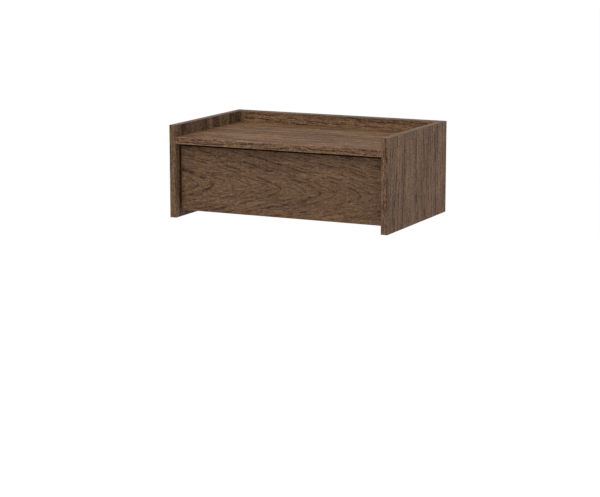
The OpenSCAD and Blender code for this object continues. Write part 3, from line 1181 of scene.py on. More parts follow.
def solids(node: str) -> list[Box]:
    """The boxes of a CAD node's separate solids, in the order of their places.

    Args:
        node: The node's name.

    Returns:
        One box for each solid.
    """
    mesh = frame["nodes"][node].data
    keys = [tuple(round(part / ON_PLANE) for part in vertex.co) for vertex in mesh.vertices]
    leader = {key: key for key in keys}

    def head(key: tuple[int, int, int]) -> tuple[int, int, int]:
        """Follows a corner to the one that stands for its group.

        Args:
            key: The corner.

        Returns:
            The corner that stands for all that it is joined with.
        """
        while leader[key] != key:
            leader[key] = leader[leader[key]]
            key = leader[key]
        return key

    for polygon in mesh.polygons:
        first, *others = (head(keys[index]) for index in polygon.vertices)
        for other in others:
            leader[head(other)] = head(first)
    groups: dict[tuple[int, int, int], Box] = {}
    for key, vertex in zip(keys, mesh.vertices):
        here = Box(tuple(vertex.co), tuple(vertex.co))
        group = head(key)
        groups[group] = groups[group].around(here) if group in groups else here
    return sorted(groups.values(), key=lambda box: tuple(round(part, SORT_DIGITS) for part in box.centre))


# The diameters of holes: for a bolt's thread, for the bolt between thread and lock, and so on
BOLT_THREAD = 5.1 * MM
BOLT_BORE = 7.0 * MM
DOWEL = 6.1 * MM
BACK_DOWEL = 8.1 * MM
SMALL_SCREW = 3.6 * MM
BOTTOM_SCREW = 3.1 * MM
SHELF_SCREW = 4.6 * MM
CAM_LOCK = 12.0 * MM
BACK_CAM_LOCK = 15.0 * MM

# The countersinks of screw heads: diameter in the face, and depth
SMALL_HEAD = 7.1 * MM
SMALL_HEAD_DEPTH = 2.25 * MM
SHELF_HEAD = 8.7 * MM
SHELF_HEAD_DEPTH = 2.65 * MM


@dataclass(frozen=True)
class Bore:
    """Straight holes for the fasteners of one node. Lengths are in metres.

    Args:
        node: The fasteners' CAD node.
        axis: The direction that they run in.
        diameter: The holes' diameter.
        spare: How far a hole runs past its fastener.
    """

    node: str
    axis: Axis
    diameter: float
    spare: float = 0.5 * MM

    def cutters(self, space: Box) -> list[bpy.types.Object]:
        """What to cut a board with, where fasteners reach into its box."""
        return [self.shape(fastener) for fastener in solids(self.node) if fastener.meets(space)]

    def shape(self, fastener: Box) -> bpy.types.Object:
        """The cutter for one fastener.

        Args:
            fastener: The fastener's box.

        Returns:
            The cutter.
        """
        low = fastener.low[self.axis.value] - self.spare
        high = fastener.high[self.axis.value] + self.spare
        return rod("bore", self.axis, fastener.centre, low, high, self.diameter / 2)


@dataclass(frozen=True)
class Pocket(Bore):
    """Round pockets that are open at one of the board's faces, for cam locks.

    Args:
        opens: The side of the open end, as 1 or -1.
    """

    opens: int = 1

    def shape(self, fastener: Box) -> bpy.types.Object:
        """The cutter for one cam lock.

        Args:
            fastener: The lock's box.

        Returns:
            The cutter.
        """
        low, high = fastener.low[self.axis.value], fastener.high[self.axis.value]
        if self.opens > 0:
            high += PAST
        else:
            low -= PAST
        return rod("pocket", self.axis, fastener.centre, low, high, self.diameter / 2)


@dataclass(frozen=True)
class Sink(Bore):
    """Countersinks for flat screw heads.

    Args:
        opens: The side of the heads, as 1 or -1.
        shank: The diameter of the screws' holes.
        depth: The depth of the countersink.
    """

    opens: int = 1
    shank: float = SHELF_SCREW
    depth: float = SHELF_HEAD_DEPTH

    def shape(self, fastener: Box) -> bpy.types.Object:
        """The cutter for one screw's head, which widens on past the face.

        Args:
            fastener: The screw's box.

        Returns:
            The cutter.
        """
        face = fastener.end(self.axis, self.opens)
        ends = [face - self.opens * self.depth, face + self.opens * self.depth]
        radii = [self.shank / 2, self.diameter - self.shank / 2]
        if self.opens < 0:
            ends.reverse()
            radii.reverse()
        return rod("sink", self.axis, fastener.centre, *ends, *radii)


@dataclass(frozen=True)
class WallHoles(Bore):
    """Countersunk holes right through the back panel.

    Args:
        places: The holes' X and Z.
        sink: The countersinks' diameter, in the front face.
    """

    places: tuple[tuple[float, float], ...] = ()
    sink: float = 12.0 * MM

    def cutters(self, space: Box) -> list[bpy.types.Object]:
        """A turned cutter for each hole, with its countersink."""
        return [self._turned(Vector((x, 0.0, z)), space.low[1], space.high[1]) for x, z in self.places]

    def _turned(self, centre: Vector, front: float, rear: float) -> bpy.types.Object:
        """A cone that narrows to the hole's diameter and runs on through the panel.

        Args:
            centre: A point on its centre line.
            front: The place of the panel's front face.
            rear: The place of its rear face.

        Returns:
            The cutter.
        """
        depth = (self.sink - self.diameter) / 2
        wide, narrow = self.sink / 2 + depth, self.diameter / 2
        hole = rod("wall_hole", Axis.Y, centre, front - depth, front + depth, wide, narrow)
        select_faces(hole, lambda polygon: polygon.normal.y > FACING)
        with edit_mode():
            length = rear + PAST - front - depth
            bpy.ops.mesh.extrude_region_move(TRANSFORM_OT_translate={"value": (0, length, 0)})
        return hole


@dataclass
class Board:
    """A board with a printed face, raw ends and holes.

    Args:
        core: Its CAD node.
        print_on: The finish of its faces.
        body: The body that it rides on.
        raw: The faces without a print, each an axis and a side.
        holes: Its holes, in the order of their cutting.
        grooves: The boxes of its grooves.
        round_edge: The rounding of its edges.
        slot: The record's material slot.
    """

    core: str
    print_on: Finish
    body: str
    raw: tuple[tuple[Axis, int], ...] = ()
    holes: tuple[Bore, ...] = ()
    grooves: tuple[Box, ...] = ()
    round_edge: float = 0.25 * MM
    slot: str = "oak_board"

    def build(self) -> None:
        """Makes the board and hands it over."""
        space = Box.of(self.core)
        board = block(self.core + "_board", space)
        paint_with(board, [self.print_on, CORE])
        for polygon in board.data.polygons:
            if any(polygon.normal[axis.value] * side > FACING for axis, side in self.raw):
                polygon.material_index = 1
        bevel_edges(board, every_edge, self.round_edge, segments=2)
        for groove in self.grooves:
            take_out(board, block("groove", groove))
        for holes in self.holes:
            take_out(board, join(holes.cutters(space), "cutter"))
        self.finish(space)
        smooth(board)
        hand_over(board, self.body, self.slot, self.core)

    def finish(self, space: Box) -> None:
        """Adds what one kind of board has more, round its core's box."""


@dataclass
class EdgedBoard(Board):
    """A board with edging on the sides where the edging's node stands past it.

    Args:
        edging: The CAD node of its edging.
        face: The direction of its thickness.
        first: The direction in which its edging strips run the whole length.
        edge_prints: The finish of the strips, by the direction in which they run.
        arris: The rounding of the edging's outer corners.
        trimmed: The finish of those corners. The shelf's is a lighter print, a painted highlight along its
            rounded edge.
        joint: The rounding where the board meets its edging.
        seam: The gap between two strips that meet at a corner.
        round_edge: The rounding of the board's other edges.
    """

    edging: str = ""
    face: Axis = Axis.X
    first: Axis = Axis.X
    edge_prints: dict[Axis, Finish] = field(default_factory=dict)
    arris: float = 0.8 * MM
    trimmed: Finish = TrimmedEdging()
    joint: float = 0.12 * MM
    seam: float = 0.05 * MM
    round_edge: float = 0.12 * MM

    # The share of a strip's thickness that its rounding may take
    ROUND_SHARE = 0.9

    def finish(self, space: Box) -> None:
        """Makes the strips of edging as one piece.

        Args:
            space: The box of the board's core.
        """
        around = Box.of(self.edging)
        strips = []
        order = [axis for axis in Axis if axis not in (self.face, self.first)] + [self.first]
        for axis in order:
            run = next(other for other in Axis if other not in (self.face, axis))
            for side in (-1, 1):
                inner, outer = space.end(axis, side), around.end(axis, side)
                if side * (outer - inner) < ON_PLANE:
                    continue
                box = around.changed(axis, *sorted((inner, outer)))
                if run != self.first:
                    box = self._shortened(box, run, space, around)
                strips.append(self._strip(box, axis, side, run))
        edging = join(strips, self.edging + "_strips")
        smooth(edging)
        hand_over(edging, self.body, "oak_edging", self.edging)

    def _shortened(self, box: Box, run: Axis, space: Box, around: Box) -> Box:
        """Ends a strip at the strips that run the whole length, where there are such strips.

        Args:
            box: The strip's box.
            run: The direction that it runs in.
            space: The box of the board's core.
            around: The box of all its edging.

        Returns:
            The shorter box.
        """
        if around.low[run.value] < space.low[run.value] - ON_PLANE:
            box = box.changed(run, low=space.low[run.value] + self.seam)
        if around.high[run.value] > space.high[run.value] + ON_PLANE:
            box = box.changed(run, high=space.high[run.value] - self.seam)
        return box

    def _strip(self, box: Box, axis: Axis, side: int, run: Axis) -> bpy.types.Object:
        """One strip, rounded along its outer corners, which get the trimmed finish: the trimmed plastic, and
        on the shelf a painted highlight.

        A strip that is thinner than its rounding is stretched first and squeezed back after it.

        Args:
            box: The strip's box.
            axis: The direction of its thickness.
            side: The side of its outer face, as 1 or -1.
            run: The direction that it runs in.

        Returns:
            The strip.
        """
        inner, outer = box.end(axis, -side), box.end(axis, side)
        stretch = max(1.0, self.arris / (self.ROUND_SHARE * abs(outer - inner)))
        outer = inner + stretch * (outer - inner)
        strip = block("strip", box.changed(axis, *sorted((inner, outer))))
        paint_with(strip, [self.edge_prints[run], self.trimmed])

        def lies_at(level: float) -> EdgeTest:
            """The test whether an edge lies at one level of the strip's thickness."""
            return lambda *ends: all(abs(end[axis.value] - level) < ON_PLANE for end in ends)

        bevel_edges(strip, lies_at(outer), self.arris, segments=4, slot=1)
        bevel_edges(strip, lies_at(inner), self.joint, segments=1)
        pick(strip)
        lengths, middle = [1.0, 1.0, 1.0], box.centre
        lengths[axis.value] = 1 / stretch
        middle[axis.value] = inner
        bpy.ops.transform.resize(value=lengths, center_override=middle)
        return settle(strip, "strip")


def oak(name: str, along: Axis, across: Axis, **changes: object) -> Oak:
    """An oak print, named for its board."""
    return Oak(name="oak_" + name, along=along, across=across, **changes)


# The sub-assemblies

@dataclass
class Carcass:
    """The fixed part: two sides, the shelf and the back panel, with their edging. Lengths in metres.

    Args:
        body: The body that the boards ride on.
        wall_hole_x: The distance of the wall screws' holes from the middle.
        wall_hole_z: Their distance above and below the origin.
        wall_hole: The holes' diameter.
        wall_sink: The diameter of their countersinks, in the front face.
        shelf_arris: The rounding of the shelf's front edge.
        side_prints: The finish of each side panel's faces.
    """

    body: str = "carcass"
    wall_hole_x: float = 0.180
    wall_hole_z: float = 0.035
    wall_hole: float = 6.0 * MM
    wall_sink: float = 12.0 * MM
    shelf_arris: float = 2.2 * MM
    side_prints: dict[Side, Finish] = field(
        default_factory=lambda: {
            Side.LEFT: oak(
                "left_side", Axis.Z, Axis.Y, seed=2.0, heart=-700.0, dash=0.55, streak=1.3, grit=1.7,
                bands=2.6, band_width=12.0,
            ),
            Side.RIGHT: oak(
                "right_side", Axis.Z, Axis.Y, seed=8.0, heart=-200.0, taper=0.05, ring=13.0, line_width=2.4,
                figure=1.25, dash=0.55, grit=1.4, bands=1.05, band_width=16.0, band_length=120.0,
            ),
        }
    )

    def build(self) -> None:
        """Builds the boards."""
        for side in Side:
            self._side(side)
        self._shelf()
        self._back()

    def _side(self, side: Side) -> None:
        """One side panel, with its grain upright.

        Args:
            side: The side.
        """
        name, seed = side.label, side.value
        edge = oak(name + "_front_edge", Axis.Z, Axis.X, seed=31.0 + seed, heart=400.0, streak=1.45)
        top = oak(name + "_top_edge", Axis.Y, Axis.X, seed=35.0 + seed, heart=400.0, tone=1.05)
        EdgedBoard(
            core=name + "_side_panel",
            edging=name + "_side_edging",
            face=Axis.X,
            first=Axis.Z,
            print_on=self.side_prints[side],
            edge_prints={Axis.Z: edge, Axis.Y: top},
            body=self.body,
            raw=((Axis.Y, 1),),
            holes=(
                Bore("shelf_cam_bolts", Axis.X, BOLT_THREAD),
                Bore("back_cam_bolts", Axis.X, BOLT_THREAD),
                Bore("shelf_dowels", Axis.X, DOWEL),
                Bore("back_dowels", Axis.X, BACK_DOWEL),
                Bore("carcass_rail_screws", Axis.X, SMALL_SCREW),
            ),
        ).build()

    def _shelf(self) -> None:
        """The shelf, with its grain along the wall."""
        EdgedBoard(
            core="top_shelf",
            edging="shelf_edging",
            face=Axis.Z,
            first=Axis.X,
            print_on=oak(
                "shelf", Axis.X, Axis.Y, seed=14.0, heart=-100.0, taper=0.06, tone=1.10, streak=1.2,
                bands=1.3, band_width=18.0, band_length=130.0, rough=0.62, shine=0.07,
            ),
            edge_prints={Axis.X: oak("shelf_edge", Axis.X, Axis.Z, seed=17.0, heart=300.0, streak=1.7)},
            arris=self.shelf_arris,
            # The rounded arris is real; its print, 1.5 times lighter than the edge's, is a painted
            # highlight.
            trimmed=oak("shelf_arris", Axis.X, Axis.Z, seed=17.0, heart=300.0, streak=0.8, tone=1.5),
            body=self.body,
            raw=((Axis.Y, 1), (Axis.X, 1), (Axis.X, -1)),
            holes=(
                Bore("shelf_cam_bolts", Axis.X, BOLT_BORE),
                Bore("shelf_dowels", Axis.X, DOWEL),
                Bore("shelf_screws", Axis.Y, SHELF_SCREW),
                Pocket("shelf_cam_locks", Axis.Z, CAM_LOCK, opens=-1),
            ),
        ).build()

    def _back(self) -> None:
        """The back panel, with its grain along the wall and holes for wall screws."""
        EdgedBoard(
            core="back_panel",
            edging="back_panel_edging",
            face=Axis.Y,
            first=Axis.X,
            # The back panel's print is 1.24 times lighter than plain: painted light, for the frontal light
            # that falls on it.
            print_on=oak(
                "back", Axis.X, Axis.Z, seed=21.0, heart=-60.0, taper=0.05, tone=1.24, streak=1.35, bands=0.6
            ),
            edge_prints={Axis.X: oak("back_edge", Axis.X, Axis.Y, seed=24.0, heart=300.0)},
            body=self.body,
            raw=((Axis.X, 1), (Axis.X, -1)),
            holes=(
                Bore("back_cam_bolts", Axis.X, BOLT_BORE),
                Bore("back_dowels", Axis.X, BACK_DOWEL),
                Bore("shelf_screws", Axis.Y, SHELF_SCREW),
                Sink("shelf_screws", Axis.Y, SHELF_HEAD),
                Pocket("back_cam_locks", Axis.Y, BACK_CAM_LOCK),
                self._wall_holes(),
            ),
        ).build()

    def _wall_holes(self) -> WallHoles:
        """The four countersunk holes for the wall screws."""
        places = tuple((x * self.wall_hole_x, z * self.wall_hole_z) for x in (-1, 1) for z in (-1, 1))
        return WallHoles("", Axis.Y, self.wall_hole, places=places, sink=self.wall_sink)


@dataclass
class Drawer:
    """The drawer: its front with edging, and its box. Lengths are in metres.

    Args:
        body: The body that the boards ride on.
        groove_depth: The depth of the bottom's groove.
        groove_height: Its height.
        bottom_edge: The rounding of the bottom's edges.
    """

    body: str = "drawer"
    groove_depth: float = 5.0 * MM
    groove_height: float = 3.2 * MM
    bottom_edge: float = 0.15 * MM

    def build(self) -> None:
        """Builds the boards."""
        self._front()
        for side in Side:
            self._side(side)
        self._back()
        self._bottom()

    def _groove(self, low_x: float, high_x: float, low_y: float, high_y: float) -> Box:
        """A groove for the bottom, at its level."""
        level = Box.of("drawer_bottom").low[2]
        return Box((low_x, low_y, level), (high_x, high_y, level + self.groove_height))

    def _front(self) -> None:
        """The drawer front, with its grain along the wall."""
        inner = Box.of("drawer_back")
        back_face = Box.of("drawer_front").high[1]
        groove = self._groove(
            inner.low[0] - self.groove_depth,
            inner.high[0] + self.groove_depth,
            back_face - self.groove_depth,
            back_face + PAST,
        )
        EdgedBoard(
            core="drawer_front",
            edging="drawer_front_edging",
            face=Axis.Y,
            first=Axis.X,
            print_on=oak(
                "drawer_front", Axis.X, Axis.Z, seed=1.0, heart=-22.0, taper=0.32, spread=0.65, ring=13.0,
                sway=6.0, tone=0.94,
            ),
            edge_prints={
                Axis.X: oak("front_long_edge", Axis.X, Axis.Y, seed=41.0, heart=300.0),
                Axis.Z: oak("front_short_edge", Axis.Z, Axis.Y, seed=44.0, heart=300.0),
            },
            body=self.body,
            holes=(
                Bore("drawer_cam_bolts", Axis.Y, BOLT_THREAD),
                Bore("drawer_dowels", Axis.Y, DOWEL),
            ),
            grooves=(groove,),
        ).build()

    def _side(self, side: Side) -> None:
        """One side of the drawer's box, with a wrapped top edge.

        Args:
            side: The side.
        """
        node, sign = f"drawer_{side.label}_side", side.value
        space = Box.of(node)
        inner = space.end(Axis.X, -sign)
        ends = sorted((inner + sign * self.groove_depth, inner - sign * PAST))
        groove = self._groove(*ends, space.low[1] - PAST, space.high[1] + PAST)
        heads = {"shank": SMALL_SCREW, "depth": SMALL_HEAD_DEPTH}
        Board(
            core=node,
            print_on=oak(f"box_{side.label}", Axis.Y, Axis.Z, seed=61.0 + sign, heart=500.0, tone=1.1),
            body=self.body,
            raw=((Axis.Y, 1), (Axis.Y, -1), (Axis.Z, -1)),
            grooves=(groove,),
            holes=(
                Bore("drawer_cam_bolts", Axis.Y, BOLT_BORE),
                Bore("drawer_dowels", Axis.Y, DOWEL),
                Bore("drawer_back_screws", Axis.X, SMALL_SCREW),
                Sink("drawer_back_screws", Axis.X, SMALL_HEAD, opens=sign, **heads),
                Bore("drawer_rail_screws", Axis.Z, SMALL_SCREW),
                Pocket("drawer_cam_locks", Axis.X, CAM_LOCK, opens=-sign),
            ),
        ).build()

    def _back(self) -> None:
        """The back of the drawer's box."""
        Board(
            core="drawer_back",
            print_on=oak("box_back", Axis.X, Axis.Z, seed=71.0, heart=500.0, tone=1.1),
            body=self.body,
            raw=((Axis.X, 1), (Axis.X, -1), (Axis.Z, -1)),
            holes=(
                Bore("drawer_back_screws", Axis.X, SMALL_SCREW),
                Bore("drawer_bottom_screws", Axis.Z, BOTTOM_SCREW),
            ),
        ).build()

    def _bottom(self) -> None:
        """The bottom of the drawer's box."""
        Board(
            core="drawer_bottom",
            print_on=Hardboard(),
            body=self.body,
            slot="hardboard",
            holes=(Bore("drawer_bottom_screws", Axis.Z, BOTTOM_SCREW),),
            round_edge=self.bottom_edge,
        ).build()


@dataclass
class Runners:
    """The rails of folded sheet steel and the rollers. Lengths are in metres.

    Args:
        fixed_body: The body that the carcass rails ride on.
        moving_body: The body that the drawer rails ride on.
        sheet: The steel's thickness.
        bend: The radius of its bends, at the middle of the sheet.
        cut_edge: The rounding of its cut edges.
        track: The width of the carcass rail's lower flange.
        lip: The width of its upper flange.
        lip_start: The distance of the upper flange from the rail's front end.
        stops: The front faces of the stop lugs, along Y.
        stop_height: Their height above the track.
        stop_inset: Their distance from the side panel.
        stop_edge: The rounding of their edges.
        axle: The diameter of the axles' holes in the rails.
        roller_bore: The diameter of the bores in the rollers.
        roller_sides: The number of sides of a roller's round.
        tread: The rounding of the rollers' treads.
        dish: The diameter of the rollers' dishes.
        dish_depth: The depth of the dish at the axle's head.
        shallow_dish: The depth of the dish on the other face.
    """

    fixed_body: str = "carcass"
    moving_body: str = "drawer"
    sheet: float = 1.2 * MM
    bend: float = 0.9 * MM
    cut_edge: float = 0.15 * MM
    track: float = 10.2 * MM
    lip: float = 8.0 * MM
    lip_start: float = 26.0 * MM
    stops: tuple[float, float] = (-40.9 * MM, -236.3 * MM)
    stop_height: float = 3.0 * MM
    stop_inset: float = 3.7 * MM
    stop_edge: float = 0.3 * MM
    axle: float = 4.1 * MM
    roller_bore: float = 4.2 * MM
    roller_sides: int = 64
    tread: float = 0.6 * MM
    dish: float = 13.0 * MM
    dish_depth: float = 1.5 * MM
    shallow_dish: float = 0.3 * MM

    # The least angle at which faces meet in a sheet's cut edge
    CUT_ANGLE = math.radians(60)
    # The share of a roller's radius beyond which an edge belongs to its tread
    RIM = 0.99
    # How far a dish's wall leans, against its depth
    DISH_SLOPE = 0.35

    def build(self) -> None:
        """Builds the rails and the rollers of both sides."""
        for side in Side:
            self._carcass_rail(side)
            self._drawer_rail(side)
            self._roller(f"{side.label}_front_roller", -side.value)
            self._roller(f"{side.label}_rear_roller", side.value)

    def _web(self, name: str, x: float, space: Box) -> bpy.types.Object:
        """The middle of a rail's upright sheet, as a plane to be folded.

        Args:
            name: Its name.
            x: Its place along X.
            space: The box of the whole rail.

        Returns:
            The plane.
        """
        deselect()
        middle = (x, space.centre[1], space.centre[2])
        lengths = (1.0, space.size[1], space.size[2] - self.sheet)
        bpy.ops.mesh.primitive_plane_add(size=1, location=middle, rotation=TURNS[Axis.X])
        bpy.ops.transform.resize(value=lengths, center_override=middle)
        return settle(bpy.context.active_object, name)

    @staticmethod
    def _fold(rail: bpy.types.Object, level: float, reach: float) -> None:
        """Folds a flange out of a sheet's edge.

        Args:
            rail: The sheet.
            level: The edge's height.
            reach: How far the flange runs along X.
        """
        select_edges(rail, lambda *ends: all(abs(end.z - level) < ON_PLANE for end in ends))
        with edit_mode():
            bpy.ops.mesh.extrude_region_move(TRANSFORM_OT_translate={"value": (reach, 0, 0)})

    def _thicken(
        self, rail: bpy.types.Object, x: float, levels: tuple[float, ...], notch: Box | None = None
    ) -> None:
        """Rounds the bends of a folded sheet and gives it its thickness.

        Args:
            rail: The folded sheet.
            x: The place of its web.
            levels: The heights of its bends.
            notch: The box to clip off it, or None.
        """

        def is_bend(first: Vector, second: Vector) -> bool:
            """Tells whether an edge is a bend.

            Args:
                first: One of its ends.
                second: The other.

            Returns:
                Whether it is one.
            """
            at_web = abs(first.x - x) < ON_PLANE and abs(second.x - x) < ON_PLANE
            along = abs(first.y - second.y) > MM
            return at_web and along and any(abs(first.z - level) < ON_PLANE for level in levels)

        seal(rail)
        bevel_edges(rail, is_bend, self.bend, segments=4)
        modify(rail, "SOLIDIFY", thickness=self.sheet, offset=0.0, use_even_offset=True)
        soften(rail, self.cut_edge, self.CUT_ANGLE)
        seal(rail)
        if notch:
            cut(rail, block("notch", notch))

    def _carcass_rail(self, side: Side) -> None:
        """A channel on the side panel, whose lower flange is the rear roller's track.

        Args:
            side: The side.
        """
        node, inward = f"{side.label}_carcass_rail", -side.value
        space = Box.of(node)
        half = self.sheet / 2
        wall = space.end(Axis.X, side.value)
        web_x = wall + inward * half
        low, high = space.low[2] + half, space.high[2] - half
        rail = self._web(node + "_channel", web_x, space)
        self._fold(rail, low, inward * (self.track - half))
        self._fold(rail, high, inward * (self.lip - half))
        near, far = sorted((wall + inward * self.sheet, wall + inward * (self.lip + PAST)))
        notch = Box(
            (near, space.low[1] - PAST, space.high[2] - 2 * self.sheet),
            (far, space.low[1] + self.lip_start, space.high[2] + PAST),
        )
        self._thicken(rail, web_x, (low, high), notch)
        self._pierce(rail, "carcass_rail_screws", SMALL_SCREW)
        self._pierce(rail, "front_roller_axles", self.axle)
        near, far = sorted((wall + inward * self.stop_inset, wall + inward * self.track))
        top = space.low[2] + self.sheet + self.stop_height
        for stop in self.stops:
            lug = block("lug", Box((near, stop, low), (far, stop + self.sheet, top)))
            bevel_edges(lug, every_edge, self.stop_edge, segments=2)
            cut(rail, lug, Combination.ADDED)
        self._finish(rail, self.fixed_body, node)

    def _drawer_rail(self, side: Side) -> None:
        """A folded rail on the drawer: a seat under its side, and a flange over the front roller.

        Args:
            side: The side.
        """
        node, sign = f"{side.label}_drawer_rail", side.value
        space = Box.of(node)
        half = self.sheet / 2
        web_x = Box.of(f"drawer_{side.label}_side").end(Axis.X, sign) + sign * half
        low, high = space.low[2] + half, space.high[2] - half
        rail = self._web(node + "_profile", web_x, space)
        self._fold(rail, low, space.end(Axis.X, -sign) - web_x)
        self._fold(rail, high, space.end(Axis.X, sign) - web_x)
        self._thicken(rail, web_x, (low, high))
        self._pierce(rail, "drawer_rail_screws", SMALL_SCREW, Axis.Z)
        self._pierce(rail, "rear_roller_axles", self.axle)
        self._finish(rail, self.moving_body, node)

    @staticmethod
    def _pierce(rail: bpy.types.Object, node: str, diameter: float, axis: Axis = Axis.X) -> None:
        """Makes a rail's holes for the fasteners of a node.

        Args:
            rail: The rail.
            node: The fasteners' CAD node.
            diameter: The holes' diameter.
            axis: The direction that they run in.
        """
        corners = list(zip(*rail.bound_box))
        space = Box(tuple(map(min, corners)), tuple(map(max, corners)))
        cutter = join(Bore(node, axis, diameter).cutters(space), "cutter")
        paint_with(cutter, [CoatedSteel()])
        cut(rail, cutter)

    @staticmethod
    def _finish(rail: bpy.types.Object, body: str, node: str) -> None:
        """Paints a rail and hands it over.

        Args:
            rail: The rail.
            body: The body that it rides on.
            node: The CAD node that it replaces.
        """
        paint_with(rail, [CoatedSteel()])
        smooth(rail)
        hand_over(rail, body, "coated_steel", node)

    def _roller(self, node: str, dish_side: int) -> None:
        """A moulded roller, dished at its axle's head, with a rounded tread.

        Args:
            node: Its CAD node, which is its body's name too.
            dish_side: The side of the axle's head, as 1 or -1.
        """
        space = Box.of(node)
        (low, high), radius = (space.low[0], space.high[0]), space.size[2] / 2
        roller = rod(node + "_wheel", Axis.X, space.centre, low, high, radius, sides=self.roller_sides)
        for side in (-1, 1):
            depth = self.dish_depth if side == dish_side else self.shallow_dish
            self._dish(roller, space.end(Axis.X, side), radius - self.dish / 2, -side * depth)

        def is_rim(first: Vector, second: Vector) -> bool:
            """Whether an edge runs round the tread's border."""
            across = abs(first.x - second.x) < ON_PLANE
            return across and (first - space.centre).yz.length > self.RIM * radius

        bevel_edges(roller, is_rim, self.tread, segments=3)
        cut(roller, rod("bore", Axis.X, space.centre, low - PAST, high + PAST, self.roller_bore / 2))
        paint_with(roller, [Nylon()])
        smooth(roller)
        hand_over(roller, node, "nylon", node)

    def _dish(self, roller: bpy.types.Object, face: float, border: float, depth: float) -> None:
        """Sinks the middle of one of a roller's faces.

        Args:
            roller: The roller.
            face: The face's place along X.
            border: The width of what stays of it.
            depth: How far the middle is moved along X.
        """
        select_faces(
            roller,
            lambda polygon: abs(polygon.center.x - face) < ON_PLANE and abs(polygon.normal.x) > FACING,
        )
        with edit_mode():
            bpy.ops.mesh.inset(thickness=border)
            bpy.ops.mesh.inset(thickness=abs(depth) * self.DISH_SLOPE, depth=0.0)
            bpy.ops.transform.translate(value=(depth, 0, 0))


@dataclass
class Fasteners:
    """The metal fasteners that show: their CAD shapes with softened edges. Lengths are in metres.

    Args:
        softened: The rounding of the edges, by node.
    """

    softened: dict[str, float] = field(
        default_factory=lambda: {
            "shelf_cam_locks": 0.18 * MM,
            "back_cam_locks": 0.18 * MM,
            "drawer_cam_locks": 0.18 * MM,
            "shelf_screws": 0.08 * MM,
            "drawer_back_screws": 0.08 * MM,
            "carcass_rail_screws": 0.12 * MM,
            "drawer_rail_screws": 0.12 * MM,
            "drawer_bottom_screws": 0.12 * MM,
            "front_roller_axles": 0.25 * MM,
            "rear_roller_axles": 0.25 * MM,
        }
    )

    # The least angle at which faces meet in an edge that is rounded
    EDGE_ANGLE = math.radians(35)
    # The largest angle between triangles of one flat face
    FLAT_ANGLE = math.radians(0.5)

    def build(self) -> None:
        """Softens each node's copy and hands it over."""
        for node, width in self.softened.items():
            solid = frame["nodes"][node]
            body = solid.parent.name.removeprefix("body:")
            piece = solid.copy()
            piece.data = solid.data.copy()
            piece.parent = None
            bpy.context.scene.collection.objects.link(piece)
            piece.name = node + "_softened"
            piece.data.name = piece.name
            self._merge(piece)
            soften(piece, width, self.EDGE_ANGLE)
            paint_with(piece, [ZincPlate()])
            smooth(piece)
            hand_over(piece, body, "zinc_plated_steel", node)

    def _merge(self, piece: bpy.types.Object) -> None:
        """Joins a copied mesh's loose triangles into closed surfaces with whole faces.

        Args:
            piece: The copy.
        """
        pick(piece)
        with edit_mode():
            bpy.ops.mesh.select_all(action="SELECT")
            bpy.ops.mesh.remove_doubles(threshold=SAME_PLACE)
            bpy.ops.mesh.dissolve_limited(angle_limit=self.FLAT_ANGLE)


# The room

@dataclass(frozen=True)
class Lamp:
    """A square lamp that faces the object. Lengths are in metres.

    Args:
        name: Its name.
        place: Where it hangs.
        size: The length of its sides.
        watts: Its power.
    """

    name: str
    place: Point
    size: float
    watts: float

    def hang(self) -> None:
        """Makes the lamp."""
        light = bpy.data.lights.new(self.name, "AREA")
        light.size = self.size
        light.energy = self.watts
        lamp = bpy.data.objects.new(self.name, light)
        bpy.context.scene.collection.objects.link(lamp)
        lamp.location = self.place
        lamp.rotation_euler = Vector(self.place).to_track_quat("Z", "Y").to_euler()


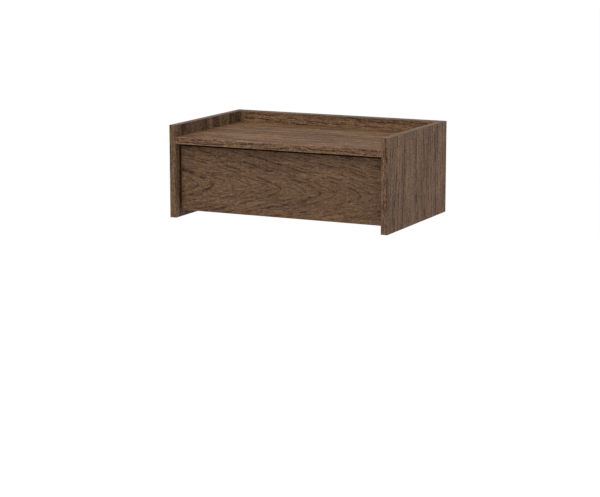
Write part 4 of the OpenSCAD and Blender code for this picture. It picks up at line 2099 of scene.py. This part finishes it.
@dataclass
class Room:
    """The floor, the light and the camera. Lengths are in metres, angles in radians.

    Args:
        floor_drop: How far the floor lies below the origin.
        floor_size: The length of its sides.
        sky: The strength of the even light from all round.
        lamps: The lamps.
        focal_px: The camera's focal length, in pixels of the picture.
        image_px: The picture's width, in pixels.
        sensor_mm: The sensor's width, in millimetres.
        camera_place: Where the camera stands.
        camera_yaw: How far it is turned, from looking along Y.
        camera_pitch: How far it looks down.
    """

    floor_drop: float = 1.5
    floor_size: float = 60.0
    sky: float = 1.0
    lamps: tuple[Lamp, ...] = (
        Lamp("overhead", place=(-0.4, -1.1, 1.8), size=1.4, watts=37.0),
        Lamp("side", place=(2.2, -1.4, 0.8), size=1.2, watts=16.0),
    )
    focal_px: float = 1964.3
    image_px: float = 600.0
    sensor_mm: float = 36.0
    camera_place: Point = (1.7749, -3.8990, 0.6089)
    camera_yaw: float = math.radians(25.653)
    camera_pitch: float = math.radians(10.642)

    def build(self) -> None:
        """Sets everything that isn't the object."""
        self._floor()
        self._light()
        self._camera()

    def _floor(self) -> None:
        """A plain pale floor, well below the shelf."""
        deselect()
        bpy.ops.mesh.primitive_plane_add(size=self.floor_size, location=(0, 0, -self.floor_drop))
        floor = bpy.context.active_object
        floor.name = "floor"
        matt = Shader("pale_floor").dress(base_color=WHITE, roughness=1.0, ior_level=0.0)
        floor.data.materials.append(matt)

    def _light(self) -> None:
        """Even light from all round, and two large soft lamps."""
        world = bpy.data.worlds.new("studio")
        world.use_nodes = True
        sky = world.node_tree.nodes["Background"]
        sky.inputs["Color"].default_value = WHITE
        sky.inputs["Strength"].default_value = self.sky
        bpy.context.scene.world = world
        bpy.context.scene.view_settings.view_transform = "Standard"
        for lamp in self.lamps:
            lamp.hang()

    def _camera(self) -> None:
        """The camera at the photograph's angle."""
        data = bpy.data.cameras.new("camera")
        data.sensor_width = self.sensor_mm
        data.lens = self.focal_px / self.image_px * self.sensor_mm
        camera = bpy.data.objects.new("camera", data)
        bpy.context.scene.collection.objects.link(camera)
        camera.location = self.camera_place
        camera.rotation_euler = (math.pi / 2 - self.camera_pitch, 0.0, self.camera_yaw)
        bpy.context.scene.camera = camera


def dress_nodes() -> None:
    """Gives every CAD node that stays a finish of its own slot."""
    finishes = {
        "oak_board": oak("box", Axis.Y, Axis.Z, seed=51.0),
        "oak_edging": oak("edging", Axis.X, Axis.Z, seed=53.0),
        "hardboard": Hardboard(),
        "beech": Beech(),
        "coated_steel": CoatedSteel(),
        "zinc_plated_steel": ZincPlate(),
        "nylon": Nylon(),
    }
    for part in frame["record"]["subparts"]:
        name, slot = part["node"], part["material_slot"]
        node = frame["nodes"][name]
        if not node.hide_render:
            paint_with(node, [finishes[slot]])
            log.info("%s: %s", name, slot)


def main() -> None:
    """Builds the object and the room around it."""
    logging.basicConfig(level=logging.INFO, format="%(name)s %(message)s", force=True)
    Room().build()
    Carcass().build()
    Drawer().build()
    Runners().build()
    Fasteners().build()
    dress_nodes()


if __name__ == "__main__":
    main()
